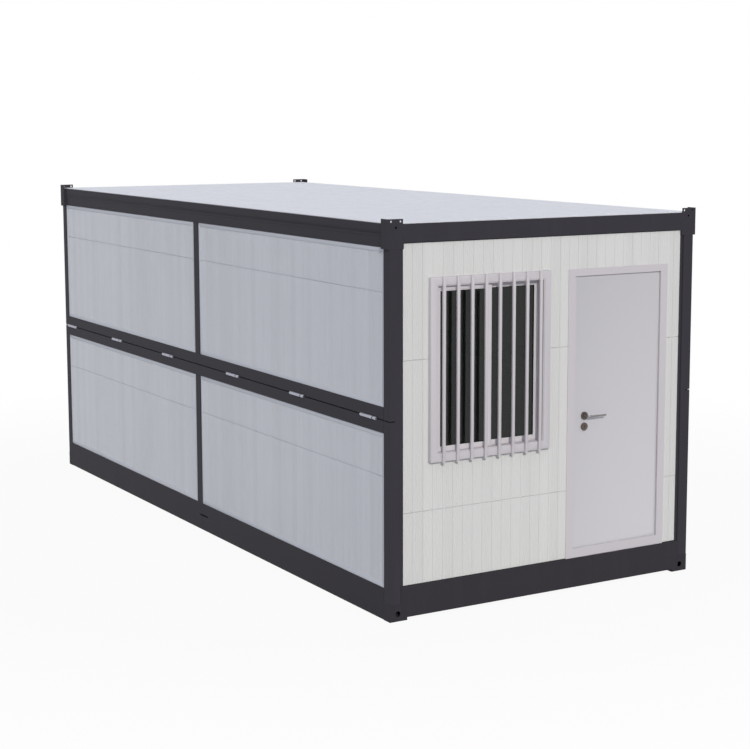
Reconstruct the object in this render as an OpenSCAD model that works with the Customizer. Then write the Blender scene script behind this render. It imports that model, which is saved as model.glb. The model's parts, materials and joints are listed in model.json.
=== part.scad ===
// Folding container cabin, shown set up.
// A steel base and a steel roof are joined by two long sides. Each side is an upper and a lower
// leaf with half of the corner posts, hinged together at mid height. The two end walls are loose
// panels that are set in between the posts once the sides stand.
// X is the width, Y the length with the door end towards -Y, and Z is up from the feet.

/* [Cabin] */
// Width over the top corner fittings
cabin_w = 2500; // [2400:10:2600]
// Length over the corner posts
cabin_l = 5800; // [5400:20:6000]
// Height to the top of the roof beams
cabin_h = 2553; // [2500:1:2650]

/* [Frame] */
// How far the top corner fittings stand out past the posts
fitting_proud = 17; // [10:1:25]
// Width of a corner post, seen from the end
post_w = 105; // [95:1:120]
// Width of a corner post, seen from the side
post_d = 78; // [70:1:90]
// Sheet thickness of the cold-formed beams, posts and rails
steel_t = 3; // [2:0.5:4]
// Height of the top edge of the end base beams
base_h = 222; // [210:1:240]
// Visible height of the side rails at mid height
rail_h = 81; // [75:1:90]
// Height of the line where the leaves fold
fold_z = 1305; // [1280:1:1330]
// Gap between the rails at the fold
fold_gap = 6; // [5:1:8]

/* [Panels] */
// Thickness of the sandwich panels
panel_t = 50; // [40:5:60]
// Spacing of the rib grooves in the panel skins
rib_pitch = 77; // [60:1:110]
// Depth of a rib groove
rib_deep = 1.6; // [1:0.1:2.5]

/* [Door] */
// Width over the door frame
door_w = 848; // [820:2:880]
// Height of the top of the door frame
head_z = 2204; // [2180:1:2230]
// Distance from the cabin's middle to the near edge of the door frame
door_x = 167; // [150:1:180]

/* [Window] */
// Width over the window frame
window_w = 942; // [900:2:960]
// Height over the window frame
window_h = 1194; // [1100:2:1250]
// Height of the top of the window frame
window_top = 2208; // [2180:1:2230]
// Middle of the window, left of the cabin's middle
window_x = -469; // [-480:1:-455]
// Number of security bars
bar_count = 8; // [6:1:10]

/* [Hidden] */
$fn = 48;
half_w = cabin_w / 2 - fitting_proud;
half_l = cabin_l / 2;
post_x = half_w - post_w;
post_y = half_l - post_d;
stop_w = 22;
stop_in = 11;
tube_x = post_x + stop_w;
corner_r = 5;
eps = 0.5;

// Base
foot_w = 130;
foot_h = 116;
foot_wall = 8;
foot_hole_r = 19;
foot_hole_z = 48;
foot_hole_in = 60;
beam_d = 80;
end_beam_z = 17;
seat_z = 140;
lip_z = 210;
slot_y = -70;
slot_z = 118;
slot_l = 150;
slot_h = 10;
joist_count = 11;
joist_h = 100;
joist_w = 50;
deck_t = 18;
deck_top = base_h - 6;
board_count = 5;
board_gap = 3;
deck_edge_gap = 6;

// Roof
fitting_w = post_w + fitting_proud;
fitting_z = 2397;
fitting_wall = 8;
fitting_hole_r = 8;
fitting_hole_z = 2530;
hole_in = 64;
lug_w = 116;
lug_h = 32;
lug_t = 6;
lug_hole_r = 7;
lug_hole_gap = 69;
side_web_z = 2405;
side_box_z = 2470;
end_web_z = 2433;
roof_beam_d = 60;
purlin_count = 9;
purlin_h = 38;
purlin_w = 50;
ceiling_t = 12;
ceiling_z = 2456;
roof_skin_t = 4;
skin_in = 12;
roof_rib_count = 9;
roof_rib_w = 30;
roof_rib_h = 4;

// Side leaves
rail_d = 60;
stile_w = 84;
leaf_gap = 2;
ear_w = 38;
ear_t = 8;
ear_down = 60;
low_rail_top = lip_z;
top_rail_z = 2403;
top_rail_top = 2460;
panel_in = 8;
side_seam_drop = 284;
seam_w = 3;
seam_deep = 3;
trim_w = 28;
trim_t = 1.5;
hinge_r = 12;
hinge_x = half_w + 2;
hinge_long = 148;
hinge_short = 34;
hinge_slot = 14;
hinge_pin_r = 7;
hinge_y = [-2635, -1650, -628, 568, 1648, 2722];
seal_w = 25;
seal_in = 20;
seal_end_gap = 2;

// End walls
wall_in = stop_in + steel_t;
wall_out_y = -half_l + wall_in;
wall_in_y = wall_out_y + panel_t;
wall_z = [base_h, end_web_z];
wall_x = tube_x - 8;
seam_z = [697, 1685];

// Door
frame_face = 57;
frame_proud = 6;
sill_h = 65;
head_h = 49;
lip_over = 10;
frame_face_y = wall_out_y - frame_proud;
lip_t = 10;
lip_back_y = frame_face_y + lip_t;
leaf_t = 40;
leaf_gap_y = 6;
leaf_y = lip_back_y + leaf_gap_y;
leaf_in_y = leaf_y + leaf_t;
casing_t = 5;
casing_over = 6;
door_z = base_h;
open_x = [door_x + frame_face, door_x + door_w - frame_face];
open_z = [door_z + sill_h, head_z - head_h];
leaf_x = [open_x[0] - lip_over - 1, open_x[1] + lip_over];
leaf_z = [open_z[0] - lip_over, open_z[1] + lip_over];
lock_gap = 7;
hinge_side_gap = 6;
end_gap = 6;
knuckle_r = 8;
pin_r = 4;
butt_t = 3;
butt_w = 42;
hinge_axis = [leaf_x[1] + 3, wall_in_y + casing_t + knuckle_r + 0.5];
knuckle_h = 42;
butt_z = [leaf_z[0] + 190, (leaf_z[0] + leaf_z[1]) / 2, leaf_z[1] - 190];
lever_x = leaf_x[0] + 107;
lever_z = 1199;
lever_len = 142;
lever_out = 52;
neck_r = 8;
grip_r = 7;
rosette_r = 27;
rosette_t = 9;
lock_drop = 75;

// Window
win_lo = [window_x - window_w / 2, window_top - window_h];
win_hi = [window_x + window_w / 2, window_top];
window_face = 58;
window_proud = 36;
wall_lap = 34;
lining_lap = 20;
track_deep = 8;
sash_w = 36;
sash_d = 24;
sash_y = [wall_out_y - 3, wall_out_y + 24];
pane_t = 6;
pane_bite = 8;
bar_w = 20;
bar_d = 18;
bar_r = 2;
bar_in = 93;
bar_foot = 9;
bar_head = 6;

steel_grey = [0.22, 0.21, 0.23];
panel_grey = [0.80, 0.80, 0.80];
trim_white = [0.81, 0.79, 0.81];
hinge_zinc = [0.80, 0.81, 0.86];

// ---- Shared forms ----

// A block between two corners
module block(lo, hi) {
    translate(lo) cube(hi - lo);
}

// A rectangle with round corners, between two corners
module round_rect(lo, hi, r) {
    translate([lo.x + r, lo.y]) square([hi.x - lo.x - 2 * r, hi.y - lo.y]);
    translate([lo.x, lo.y + r]) square([hi.x - lo.x, hi.y - lo.y - 2 * r]);
    for (x = [lo.x + r, hi.x - r], y = [lo.y + r, hi.y - r])
        translate([x, y]) circle(r);
}

// The outline of a rolled tube with wall t
module tube_outline(lo, hi, r = corner_r, t = steel_t) {
    difference() {
        round_rect(lo, hi, r);
        round_rect(lo + [t, t], hi - [t, t], max(r - t, 1));
    }
}

// Runs an outline drawn in X and Z along Y
module along_y(y0, y1) {
    translate([0, (y0 + y1) / 2, 0]) rotate([90, 0, 0])
        linear_extrude(y1 - y0, center = true) children();
}

// Runs an outline drawn in Y and Z along X
module along_x(x0, x1) {
    translate([(x0 + x1) / 2, 0, 0]) rotate([90, 0, 90])
        linear_extrude(x1 - x0, center = true) children();
}

// Pieces are drawn on the right; the left side is the mirror image
module on_side(left) {
    if (left) mirror([1, 0, 0]) children();
    else children();
}

// Pieces are drawn at the front; the rear end is the mirror image
module at_end(rear) {
    if (rear) mirror([0, 1, 0]) children();
    else children();
}

// Both corners of the front end
module both_corners() {
    children();
    mirror([1, 0, 0]) children();
}

// Edge of a skin from a to b with V grooves in it, as points [along, depth]
function ribbed_edge(a, b, margin) = let (
    span = b - a - 2 * margin,
    count = max(floor(span / rib_pitch), 1),
    first = (a + b) / 2 - (count - 1) * rib_pitch / 2
) [for (i = [0 : count - 1], k = [-1 : 1])
    [first + i * rib_pitch + k * rib_deep * 1.5, k == 0 ? rib_deep : 0]];

// ---- Base ----

// Steel block at a corner, with the lashing hole in its end face
module foot() {
    difference() {
        block([half_w - foot_w, -half_l, 0], [half_w, -post_y, foot_h]);
        block([half_w - foot_w + foot_wall, -half_l + foot_wall, foot_wall],
              [half_w - foot_wall, -post_y - foot_wall, foot_h - foot_wall]);
        translate([half_w - foot_hole_in, -half_l - 1, foot_hole_z]) rotate([-90, 0, 0])
            cylinder(h = foot_wall + 2, r = foot_hole_r);
    }
}

module feet(rear) {
    color(steel_grey) at_end(rear) both_corners() foot();
}

// Rolled channel with its back outwards, between the posts and round the feet
module base_beam_end(rear) {
    color(steel_grey) at_end(rear) difference() {
        along_x(-tube_x, tube_x) difference() {
            round_rect([-half_l, end_beam_z], [-half_l + beam_d, base_h], corner_r);
            round_rect([-half_l + steel_t, end_beam_z + steel_t],
                       [-half_l + beam_d + 2 * corner_r, base_h - steel_t], corner_r - steel_t);
            translate([-half_l + beam_d - steel_t, end_beam_z + 25])
                square([3 * corner_r, base_h - end_beam_z - 50]);
        }
        for (s = [-1, 1])
            translate([s * (half_w - foot_w / 2), -half_l + beam_d / 2, 0])
                cube([foot_w, beam_d + 2, 2 * foot_h], center = true);
    }
}

// Box beam along the side, with an upstand that covers the leaf's bottom rail and a slot for lashing
module base_beam_side(left) {
    color(steel_grey) on_side(left) difference() {
        along_y(-post_y, post_y) {
            tube_outline([half_w - beam_d, 0], [half_w, seat_z]);
            translate([half_w - steel_t, seat_z - 2 * corner_r])
                square([steel_t, lip_z - seat_z + 2 * corner_r]);
        }
        translate([half_w, slot_y, slot_z]) cube([4 * steel_t, slot_l, slot_h], center = true);
    }
}

// Channels across the floor
module floor_joists() {
    top = deck_top - deck_t;
    span = 2 * (post_y - joist_w);
    color(steel_grey) for (i = [0 : joist_count - 1])
        translate([0, -span / 2 + i * span / (joist_count - 1), 0])
            along_x(-half_w + beam_d, half_w - beam_d) difference() {
                translate([-joist_w / 2, top - joist_h]) square([joist_w, joist_h]);
                translate([-joist_w / 2 + steel_t, top - joist_h + steel_t])
                    square([joist_w, joist_h - 2 * steel_t]);
            }
}

// Floor boards laid on the joists
module floor_deck() {
    board = (2 * post_y - board_gap) / board_count;
    x = half_w - rail_d - deck_edge_gap;
    color("tan") for (i = [0 : board_count - 1])
        translate([0, -post_y + board_gap + i * board, 0])
            block([-x, 0, deck_top - deck_t], [x, board - board_gap, deck_top]);
}

// ---- Roof ----

// Corner block of the roof. Two plates stand up on it, and the one at the end carries lifting gear
module top_fitting() {
    out = half_w + fitting_proud;
    difference() {
        block([out - fitting_w, -half_l, fitting_z], [out, -post_y, cabin_h]);
        block([out - fitting_w + fitting_wall, -half_l + fitting_wall, fitting_z + fitting_wall],
              [out - fitting_wall, -post_y - fitting_wall, cabin_h - fitting_wall]);
        translate([out - hole_in, -half_l - 1, fitting_hole_z]) rotate([-90, 0, 0])
            cylinder(h = fitting_wall + 2, r = fitting_hole_r);
    }
    difference() {
        block([out - lug_w, -half_l, cabin_h - eps], [out, -half_l + lug_t, cabin_h + lug_h]);
        for (k = [-1, 1])
            translate([out - hole_in + k * lug_hole_gap / 2, -half_l - 1, cabin_h + lug_h / 2])
                rotate([-90, 0, 0]) cylinder(h = lug_t + 2, r = lug_hole_r);
    }
    block([out - lug_t, -half_l + lug_t - eps, cabin_h - eps], [out, -post_y, cabin_h + lug_h]);
}

module top_fittings(rear) {
    color(steel_grey) at_end(rear) both_corners() top_fitting();
}

// Box beam across the end, over the end wall
module roof_beam_end(rear) {
    inner = half_w + fitting_proud - fitting_w;
    color(steel_grey) at_end(rear) along_x(-inner, inner)
        tube_outline([-half_l, end_web_z], [-half_l + roof_beam_d, cabin_h]);
}

// Box beam along the side, with a web that hangs over the leaf's top rail
module roof_beam_side(left) {
    color(steel_grey) on_side(left) along_y(-post_y, post_y) {
        tube_outline([half_w - roof_beam_d, side_box_z], [half_w, cabin_h]);
        translate([half_w - steel_t - 3, side_web_z])
            square([steel_t, side_box_z - side_web_z + 2 * steel_t]);
    }
}

// Channels across the roof
module roof_purlins() {
    span = 2 * (post_y - purlin_w);
    color(steel_grey) for (i = [0 : purlin_count - 1])
        translate([0, -span / 2 + i * span / (purlin_count - 1), 0])
            along_x(-half_w + roof_beam_d, half_w - roof_beam_d) difference() {
                translate([-purlin_w / 2, ceiling_z + ceiling_t]) square([purlin_w, purlin_h]);
                translate([-purlin_w / 2 + steel_t, ceiling_z + ceiling_t + steel_t])
                    square([purlin_w, purlin_h - 2 * steel_t]);
            }
}

// Room for the four top fittings
module fitting_notches() {
    for (rear = [false, true]) at_end(rear) both_corners()
        block([half_w + fitting_proud - fitting_w - 1, -half_l - 1, fitting_z],
              [half_w + fitting_proud + 1, -post_y + 1, cabin_h]);
}

// Insulated roof with a folded skin and standing ribs along its length
module roof_panel() {
    core_x = half_w - roof_beam_d;
    core_z = ceiling_z + ceiling_t + purlin_h;
    skin_x = half_w - skin_in;
    color([0.82, 0.83, 0.86]) {
        difference() {
            block([-core_x, -half_l + roof_beam_d, core_z], [core_x, half_l - roof_beam_d, cabin_h]);
            fitting_notches();
        }
        block([-skin_x, -half_l + skin_in, cabin_h],
              [skin_x, half_l - skin_in, cabin_h + roof_skin_t]);
        for (i = [0 : roof_rib_count - 1])
            translate([-skin_x + (i + 0.5) * 2 * skin_x / roof_rib_count, 0, 0])
                along_y(-post_y, post_y) polygon([
                    [-roof_rib_w / 2, cabin_h + roof_skin_t],
                    [roof_rib_w / 2, cabin_h + roof_skin_t],
                    [roof_rib_w / 4, cabin_h + roof_skin_t + roof_rib_h],
                    [-roof_rib_w / 4, cabin_h + roof_skin_t + roof_rib_h]]);
    }
}

module ceiling() {
    x = half_w - rail_d - deck_edge_gap;
    color(panel_grey) difference() {
        block([-x, wall_in_y + 2, ceiling_z], [x, -wall_in_y - 2, ceiling_z + ceiling_t]);
        fitting_notches();
    }
}

// ---- Side leaves ----

// Half of a corner post, from z0 to z1: a rolled tube with a flange that stops the end wall
module half_post(z0, z1) {
    translate([0, 0, z0]) linear_extrude(z1 - z0)
        tube_outline([tube_x, -half_l], [half_w, -post_y]);
    block([post_x, -half_l + stop_in, max(z0, base_h)], [tube_x + steel_t / 2, -half_l + wall_in, z1]);
}

// Cuts that open the fold: a slot at the posts' outer corners and a seat for each hinge
module fold_cuts() {
    for (s = [-1, 1])
        translate([half_w - 40, 0, 0])
            block([0, min(s * (half_l + 1), s * (post_y - 1)), fold_z - fold_gap / 2],
                  [41, max(s * (half_l + 1), s * (post_y - 1)), fold_z + fold_gap / 2]);
    for (y = hinge_y)
        translate([hinge_x, y, fold_z]) rotate([90, 0, 0])
            cylinder(h = hinge_long + hinge_short + hinge_slot, r = hinge_r, center = true);
}

// One welded leaf: two half posts, two rails and the stile between them
module leaf_frame(left, z_post, rail_low, rail_high, low_out, high_out) {
    color(steel_grey) on_side(left) difference() {
        union() {
            for (rear = [false, true]) at_end(rear) half_post(z_post[0], z_post[1]);
            along_y(-post_y, post_y) {
                tube_outline([half_w - rail_d, rail_low[0]], [low_out, rail_low[1]]);
                tube_outline([half_w - rail_d, rail_high[0]], [high_out, rail_high[1]]);
            }
            translate([0, 0, rail_low[1]]) linear_extrude(rail_high[0] - rail_low[1])
                tube_outline([half_w - rail_d, -stile_w / 2], [half_w, stile_w / 2]);
            if (rail_high[1] > z_post[1])
                for (rear = [false, true]) at_end(rear)
                    block([half_w - rail_d - ear_w, -post_y, z_post[1] - ear_down],
                          [half_w - rail_d, -post_y + ear_t, ceiling_z - 1]);
        }
        fold_cuts();
    }
}

module lower_frame(left) {
    leaf_frame(left, [foot_h, fold_z], [seat_z + leaf_gap, low_rail_top],
               [fold_z - fold_gap / 2 - rail_h, fold_z - fold_gap / 2],
               half_w - steel_t - leaf_gap, half_w);
}

module upper_frame(left) {
    leaf_frame(left, [fold_z, fitting_z], [fold_z + fold_gap / 2, fold_z + fold_gap / 2 + rail_h],
               [top_rail_z, top_rail_top], half_w, half_w - 2 * steel_t - leaf_gap);
}

// A sandwich panel with grooved skin, a lengthwise joint and a folded trim round its edge
module side_panel(y0, y1, z0, z1, joint_z) {
    x = half_w - panel_in;
    edge = ribbed_edge(y0, y1, trim_w + 10);
    difference() {
        translate([0, 0, z0]) linear_extrude(z1 - z0) polygon(concat(
            [[x - panel_t, y0], [x, y0]],
            [for (p = edge) [x - p[1], p[0]]],
            [[x, y1], [x - panel_t, y1]]));
        block([x - seam_deep, y0 + trim_w, joint_z - seam_w / 2],
              [x + 1, y1 - trim_w, joint_z + seam_w / 2]);
    }
    difference() {
        block([x - rib_deep - 1, y0, z0], [x + trim_t, y1, z1]);
        block([x - rib_deep - 2, y0 + trim_w, z0 + trim_w],
              [x + trim_t + 1, y1 - trim_w, z1 - trim_w]);
    }
}

module leaf_panels(left, z0, z1) {
    color([0.72, 0.73, 0.76]) on_side(left) for (rear = [false, true]) at_end(rear)
        side_panel(-post_y, -stile_w / 2, z0, z1, z1 - side_seam_drop);
}

module lower_panels(left) {
    leaf_panels(left, low_rail_top, fold_z - fold_gap / 2 - rail_h);
}

module upper_panels(left) {
    leaf_panels(left, fold_z + fold_gap / 2 + rail_h, top_rail_z);
}

// Weld-on barrel hinges along the fold: a long and a short barrel on one pin
module fold_hinges(left) {
    full = hinge_long + hinge_slot + hinge_short;
    color(hinge_zinc) on_side(left) for (y = hinge_y)
        translate([hinge_x, y - full / 2, fold_z]) rotate([-90, 0, 0]) {
            cylinder(h = full, r = hinge_pin_r);
            cylinder(h = hinge_short, r = hinge_r);
            translate([0, 0, hinge_short + hinge_slot]) cylinder(h = hinge_long, r = hinge_r);
        }
}

// Rubber strip pressed between the two rails at the fold
module fold_seal(left) {
    x = half_w - seal_in;
    y = post_y - seal_end_gap;
    color([0.1, 0.1, 0.1]) on_side(left)
        block([x - seal_w, -y, fold_z - fold_gap / 2], [x, y, fold_z + fold_gap / 2]);
}

// ---- End walls ----

// Grooved sandwich panel across the end, from x0 to x1 and z0 to z1, with its level joints
module end_panel(x0, x1, z0, z1) {
    edge = ribbed_edge(x0, x1, 12);
    difference() {
        translate([0, 0, z0]) linear_extrude(z1 - z0) polygon(concat(
            [[x0, wall_in_y], [x0, wall_out_y]],
            [for (p = edge) [p[0], wall_out_y + p[1]]],
            [[x1, wall_out_y], [x1, wall_in_y]]));
        for (z = seam_z)
            block([x0 - 1, wall_out_y - 1, z - seam_w / 2],
                  [x1 + 1, wall_out_y + seam_deep, z + seam_w / 2]);
    }
}

module front_wall_window_side() {
    lo = win_lo + [wall_lap, wall_lap];
    hi = win_hi - [wall_lap, wall_lap];
    color(panel_grey) difference() {
        end_panel(-wall_x, door_x + 14, wall_z[0], wall_z[1]);
        block([lo.x, wall_out_y - 5, lo.y], [hi.x, wall_in_y + 5, hi.y]);
        fitting_notches();
    }
}

module front_wall_door_side() {
    color(panel_grey) difference() {
        end_panel(door_x + door_w - 14, wall_x, wall_z[0], wall_z[1]);
        fitting_notches();
    }
}

module front_wall_over_door() {
    color(panel_grey) end_panel(door_x + 14, door_x + door_w - 14, head_z - 14, wall_z[1]);
}

module rear_wall() {
    color(panel_grey) mirror([0, 1, 0]) difference() {
        end_panel(-wall_x, wall_x, wall_z[0], wall_z[1]);
        fitting_notches();
    }
}

// ---- Window ----

// A rectangular ring in X and Z, from y0 to y1: its outer edge lies e inside the window's
module ring(e, w, y0, y1) {
    difference() {
        block([win_lo.x + e, y0, win_lo.y + e], [win_hi.x - e, y1, win_hi.y - e]);
        block([win_lo.x + e + w, y0 - 1, win_lo.y + e + w],
              [win_hi.x - e - w, y1 + 1, win_hi.y - e - w]);
    }
}

// Corners of the clear opening in the window frame, larger by e
function clear_lo(e = 0) = win_lo + [window_face - e, window_face - e];
function clear_hi(e = 0) = win_hi - [window_face - e, window_face - e];

// Corners of the opening in a sash (0 is the left one and outer, 1 the right and inner), larger by e
function pane_lo(i, e = 0) =
    [(i == 0 ? clear_lo().x + sash_w : window_x + sash_w / 2) - e, clear_lo().y + sash_w - e];
function pane_hi(i, e = 0) =
    [(i == 0 ? window_x - sash_w / 2 : clear_hi().x - sash_w) + e, clear_hi().y - sash_w + e];

// Box section that stands proud of the wall, a lining through it, and a track for each sash
module window_frame() {
    lo = clear_lo(track_deep);
    hi = clear_hi(track_deep);
    color(trim_white) difference() {
        union() {
            ring(0, window_face, wall_out_y - window_proud, wall_out_y);
            ring(wall_lap, window_face - wall_lap, wall_out_y - eps, wall_in_y);
            ring(lining_lap, window_face - lining_lap, wall_in_y, wall_in_y + casing_t);
        }
        for (y = sash_y) block([lo.x, y, lo.y], [hi.x, y + sash_d, hi.y]);
    }
}

// A pane with its edges in the groove of sash i
module pane(i) {
    y = sash_y[i] + (sash_d - pane_t) / 2;
    lo = pane_lo(i, pane_bite);
    hi = pane_hi(i, pane_bite);
    block([lo.x, y, lo.y], [hi.x, y + pane_t, hi.y]);
}

// Sash i, seated in its track on three sides and meeting the other at the middle stile
module sash(i) {
    x = i == 0 ? [clear_lo(track_deep).x, window_x + sash_w / 2]
               : [window_x - sash_w / 2, clear_hi(track_deep).x];
    y = sash_y[i];
    color(trim_white) difference() {
        block([x[0], y, clear_lo(track_deep).y], [x[1], y + sash_d, clear_hi(track_deep).y]);
        block([pane_lo(i).x, y - 1, pane_lo(i).y], [pane_hi(i).x, y + sash_d + 1, pane_hi(i).y]);
        pane(i);
    }
}

module window_glass() {
    color([0.3, 0.36, 0.33, 0.5]) for (i = [0, 1]) pane(i);
}

// Upright tubes across the front of the window frame
module window_bars() {
    pitch = (window_w - 2 * bar_in) / (bar_count - 1);
    color(trim_white) for (i = [0 : bar_count - 1])
        translate([win_lo.x + bar_in + i * pitch, wall_out_y - window_proud - bar_d, win_lo.y - bar_foot])
            linear_extrude(window_h + bar_foot + bar_head)
                round_rect([-bar_w / 2, 0], [bar_w / 2, bar_d], bar_r);
}

// ---- Door ----

module door_frame() {
    lo = [door_x, door_z];
    hi = [door_x + door_w, head_z];
    wall_lo = [door_x + 14, base_h];
    wall_hi = [door_x + door_w - 14, head_z - 14];
    color(trim_white) difference() {
        union() {
            block([lo.x, frame_face_y, lo.y], [hi.x, wall_out_y, hi.y]);
            block([wall_lo.x, wall_out_y - eps, wall_lo.y], [wall_hi.x, wall_in_y, wall_hi.y]);
            block([lo.x - casing_over, wall_in_y, wall_lo.y],
                  [hi.x + casing_over, wall_in_y + casing_t, hi.y + casing_over]);
        }
        block([open_x[0], frame_face_y - 1, open_z[0]],
              [open_x[1], wall_in_y + casing_t + 1, open_z[1]]);
        block([leaf_x[0] - lock_gap, lip_back_y, leaf_z[0] - end_gap],
              [leaf_x[1] + hinge_side_gap, wall_in_y + casing_t + 1, leaf_z[1] + end_gap]);
    }
}

module door_leaf() {
    color([0.76, 0.75, 0.78]) difference() {
        block([leaf_x[0], leaf_y, leaf_z[0]], [leaf_x[1], leaf_in_y, leaf_z[1]]);
        translate([lever_x, leaf_y - 1, lever_z]) rotate([-90, 0, 0])
            cylinder(h = leaf_t + 2, r = neck_r + 3);
    }
}

// Lower knuckle, pin and plate of each butt hinge, on the frame
module door_frame_hinges() {
    plate_y = wall_in_y + casing_t;
    color(hinge_zinc) for (z = butt_z) {
        translate([hinge_axis.x, hinge_axis.y, z - knuckle_h]) {
            cylinder(h = knuckle_h - 0.5, r = knuckle_r);
            cylinder(h = 2 * knuckle_h - 4, r = pin_r);
        }
        block([hinge_axis.x + 5, plate_y, z - knuckle_h],
              [hinge_axis.x + butt_w, plate_y + butt_t, z - 0.5]);
    }
}

// Upper knuckle and plate of each butt hinge, on the leaf
module door_leaf_hinges() {
    color(hinge_zinc) for (z = butt_z) difference() {
        union() {
            translate([hinge_axis.x, hinge_axis.y, z + 0.5]) cylinder(h = knuckle_h - 1, r = knuckle_r);
            block([hinge_axis.x - butt_w, leaf_in_y, z + 0.5],
                  [hinge_axis.x - 4, leaf_in_y + butt_t, z + knuckle_h - 0.5]);
            block([hinge_axis.x - 4 - butt_t, leaf_in_y, z + 0.5],
                  [hinge_axis.x - 4, hinge_axis.y, z + knuckle_h - 0.5]);
        }
        translate([hinge_axis.x, hinge_axis.y, z - 1])
            cylinder(h = knuckle_h + 3, r = pin_r + 0.05);
    }
}

// Round roses of the lever on both faces, and of the lock cylinder under it
module door_rosettes() {
    color("silver") for (side = [0, 1]) {
        y = side == 0 ? leaf_y - rosette_t : leaf_in_y;
        translate([lever_x, y, lever_z]) rotate([-90, 0, 0]) difference() {
            cylinder(h = rosette_t, r = rosette_r);
            translate([0, 0, -1]) cylinder(h = rosette_t + 2, r = neck_r + 0.5);
        }
        translate([lever_x, y, lever_z - lock_drop]) rotate([-90, 0, 0])
            cylinder(h = rosette_t, r = rosette_r);
    }
}

// One lever: a neck out of the rose, a bend and the grip
module lever() {
    bend = 16;
    rotate([90, 0, 0]) cylinder(h = lever_out - 2 * bend, r = neck_r);
    rotate([90, 0, 0]) cylinder(h = lever_out - bend, r = grip_r);
    translate([bend, -(lever_out - bend), 0]) rotate([0, 0, 180])
        rotate_extrude(angle = 90) translate([bend, 0]) circle(grip_r);
    translate([bend, -lever_out, 0]) rotate([0, 90, 0])
        cylinder(h = lever_len - bend, r = grip_r);
    translate([lever_len, -lever_out, 0]) sphere(grip_r);
}

module door_handle() {
    color("silver") translate([lever_x, 0, lever_z]) {
        translate([0, leaf_y, 0]) lever();
        translate([0, leaf_in_y, 0]) mirror([0, 1, 0]) lever();
        translate([0, leaf_y - 1, 0]) rotate([-90, 0, 0]) cylinder(h = leaf_t + 2, r = neck_r);
    }
}

base_beam_end(false);  // base_beam_front
base_beam_end(true);  // base_beam_rear
base_beam_side(true);  // base_beam_left
base_beam_side(false);  // base_beam_right
feet(false);  // front_feet
feet(true);  // rear_feet
floor_joists();
floor_deck();
roof_beam_end(false);  // roof_beam_front
roof_beam_end(true);  // roof_beam_rear
roof_beam_side(true);  // roof_beam_left
roof_beam_side(false);  // roof_beam_right
top_fittings(false);  // front_top_fittings
top_fittings(true);  // rear_top_fittings
roof_purlins();
roof_panel();
ceiling();
lower_frame(true);  // left_lower_frame
upper_frame(true);  // left_upper_frame
lower_frame(false);  // right_lower_frame
upper_frame(false);  // right_upper_frame
lower_panels(true);  // left_lower_panels
upper_panels(true);  // left_upper_panels
lower_panels(false);  // right_lower_panels
upper_panels(false);  // right_upper_panels
fold_hinges(true);  // left_fold_hinges
fold_hinges(false);  // right_fold_hinges
fold_seal(true);  // left_fold_seal
fold_seal(false);  // right_fold_seal
front_wall_window_side();
front_wall_door_side();
front_wall_over_door();
rear_wall();
window_frame();
sash(0);  // window_sash_left
sash(1);  // window_sash_right
window_glass();
window_bars();
door_frame();
door_frame_hinges();
door_leaf();
door_leaf_hinges();
door_rosettes();
door_handle();
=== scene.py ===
"""Folding container cabin, dressed for viewing.

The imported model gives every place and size, in metres: X is the width, Y the length with the door
end towards -Y, and Z is up. Each class below dresses one sub-assembly. It gives the model's own
nodes their finish, or puts a finer piece in a node's place.
"""

import json
import logging
import math
from collections.abc import Callable, Iterator, Sequence
from contextlib import contextmanager
from dataclasses import dataclass, field
from enum import Enum

import bmesh
import bpy
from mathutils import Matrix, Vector


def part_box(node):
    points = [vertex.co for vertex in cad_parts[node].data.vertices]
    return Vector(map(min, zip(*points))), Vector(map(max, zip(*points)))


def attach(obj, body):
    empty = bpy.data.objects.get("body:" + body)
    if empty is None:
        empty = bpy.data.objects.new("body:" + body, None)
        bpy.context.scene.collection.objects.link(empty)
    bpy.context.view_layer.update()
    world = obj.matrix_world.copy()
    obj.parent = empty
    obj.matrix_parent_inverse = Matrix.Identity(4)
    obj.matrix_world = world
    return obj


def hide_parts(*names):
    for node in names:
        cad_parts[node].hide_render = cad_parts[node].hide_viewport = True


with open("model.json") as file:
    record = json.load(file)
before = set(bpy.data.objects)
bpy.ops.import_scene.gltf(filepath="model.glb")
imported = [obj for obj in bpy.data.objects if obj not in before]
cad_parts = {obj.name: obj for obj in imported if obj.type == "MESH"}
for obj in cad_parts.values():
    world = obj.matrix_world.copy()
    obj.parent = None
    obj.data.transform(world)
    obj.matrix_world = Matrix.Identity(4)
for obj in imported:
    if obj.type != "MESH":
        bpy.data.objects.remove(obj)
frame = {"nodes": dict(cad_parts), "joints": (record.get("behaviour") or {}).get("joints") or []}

log = logging.getLogger("cabin")
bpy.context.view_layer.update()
Colour = tuple[float, float, float]
Rgba = tuple[float, float, float, float]
Point = tuple[float, float, float]
Corner = tuple[float, float]
Opening = tuple[Corner, Corner]

HAIR = 1e-5  # two places nearer than this count as one
CUT_REACH = 1e-6  # how near a cut keeps to points that are already on its plane
WELD_REACH = 0.00002  # points nearer than this become one where copies meet
FACING = 0.9  # a face whose normal has at least this share of a direction faces it
LAP = 0.002  # how far a piece runs into the next one, so that no slit shows between them
STILE_HALF = 0.042  # half the width of the stile in the middle of a long side


class Side(Enum):
    """The long sides, by the direction that they face."""

    LEFT = -1
    RIGHT = 1


class End(Enum):
    """The ends, by the direction that they face."""

    FRONT = -1
    REAR = 1


class Leaf(Enum):
    """The two leaves that a long side folds into."""

    LOWER = "lower"
    UPPER = "upper"


class Axis(Enum):
    """The directions that a round bar can run in, with the turn that lays a primitive along it."""

    X = (0.0, math.pi / 2, 0.0)
    Y = (math.pi / 2, 0.0, 0.0)
    Z = (0.0, 0.0, 0.0)


class Pick(Enum):
    """What edit mode selects."""

    VERTS = "VERT"
    EDGES = "EDGE"
    FACES = "FACE"


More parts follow.
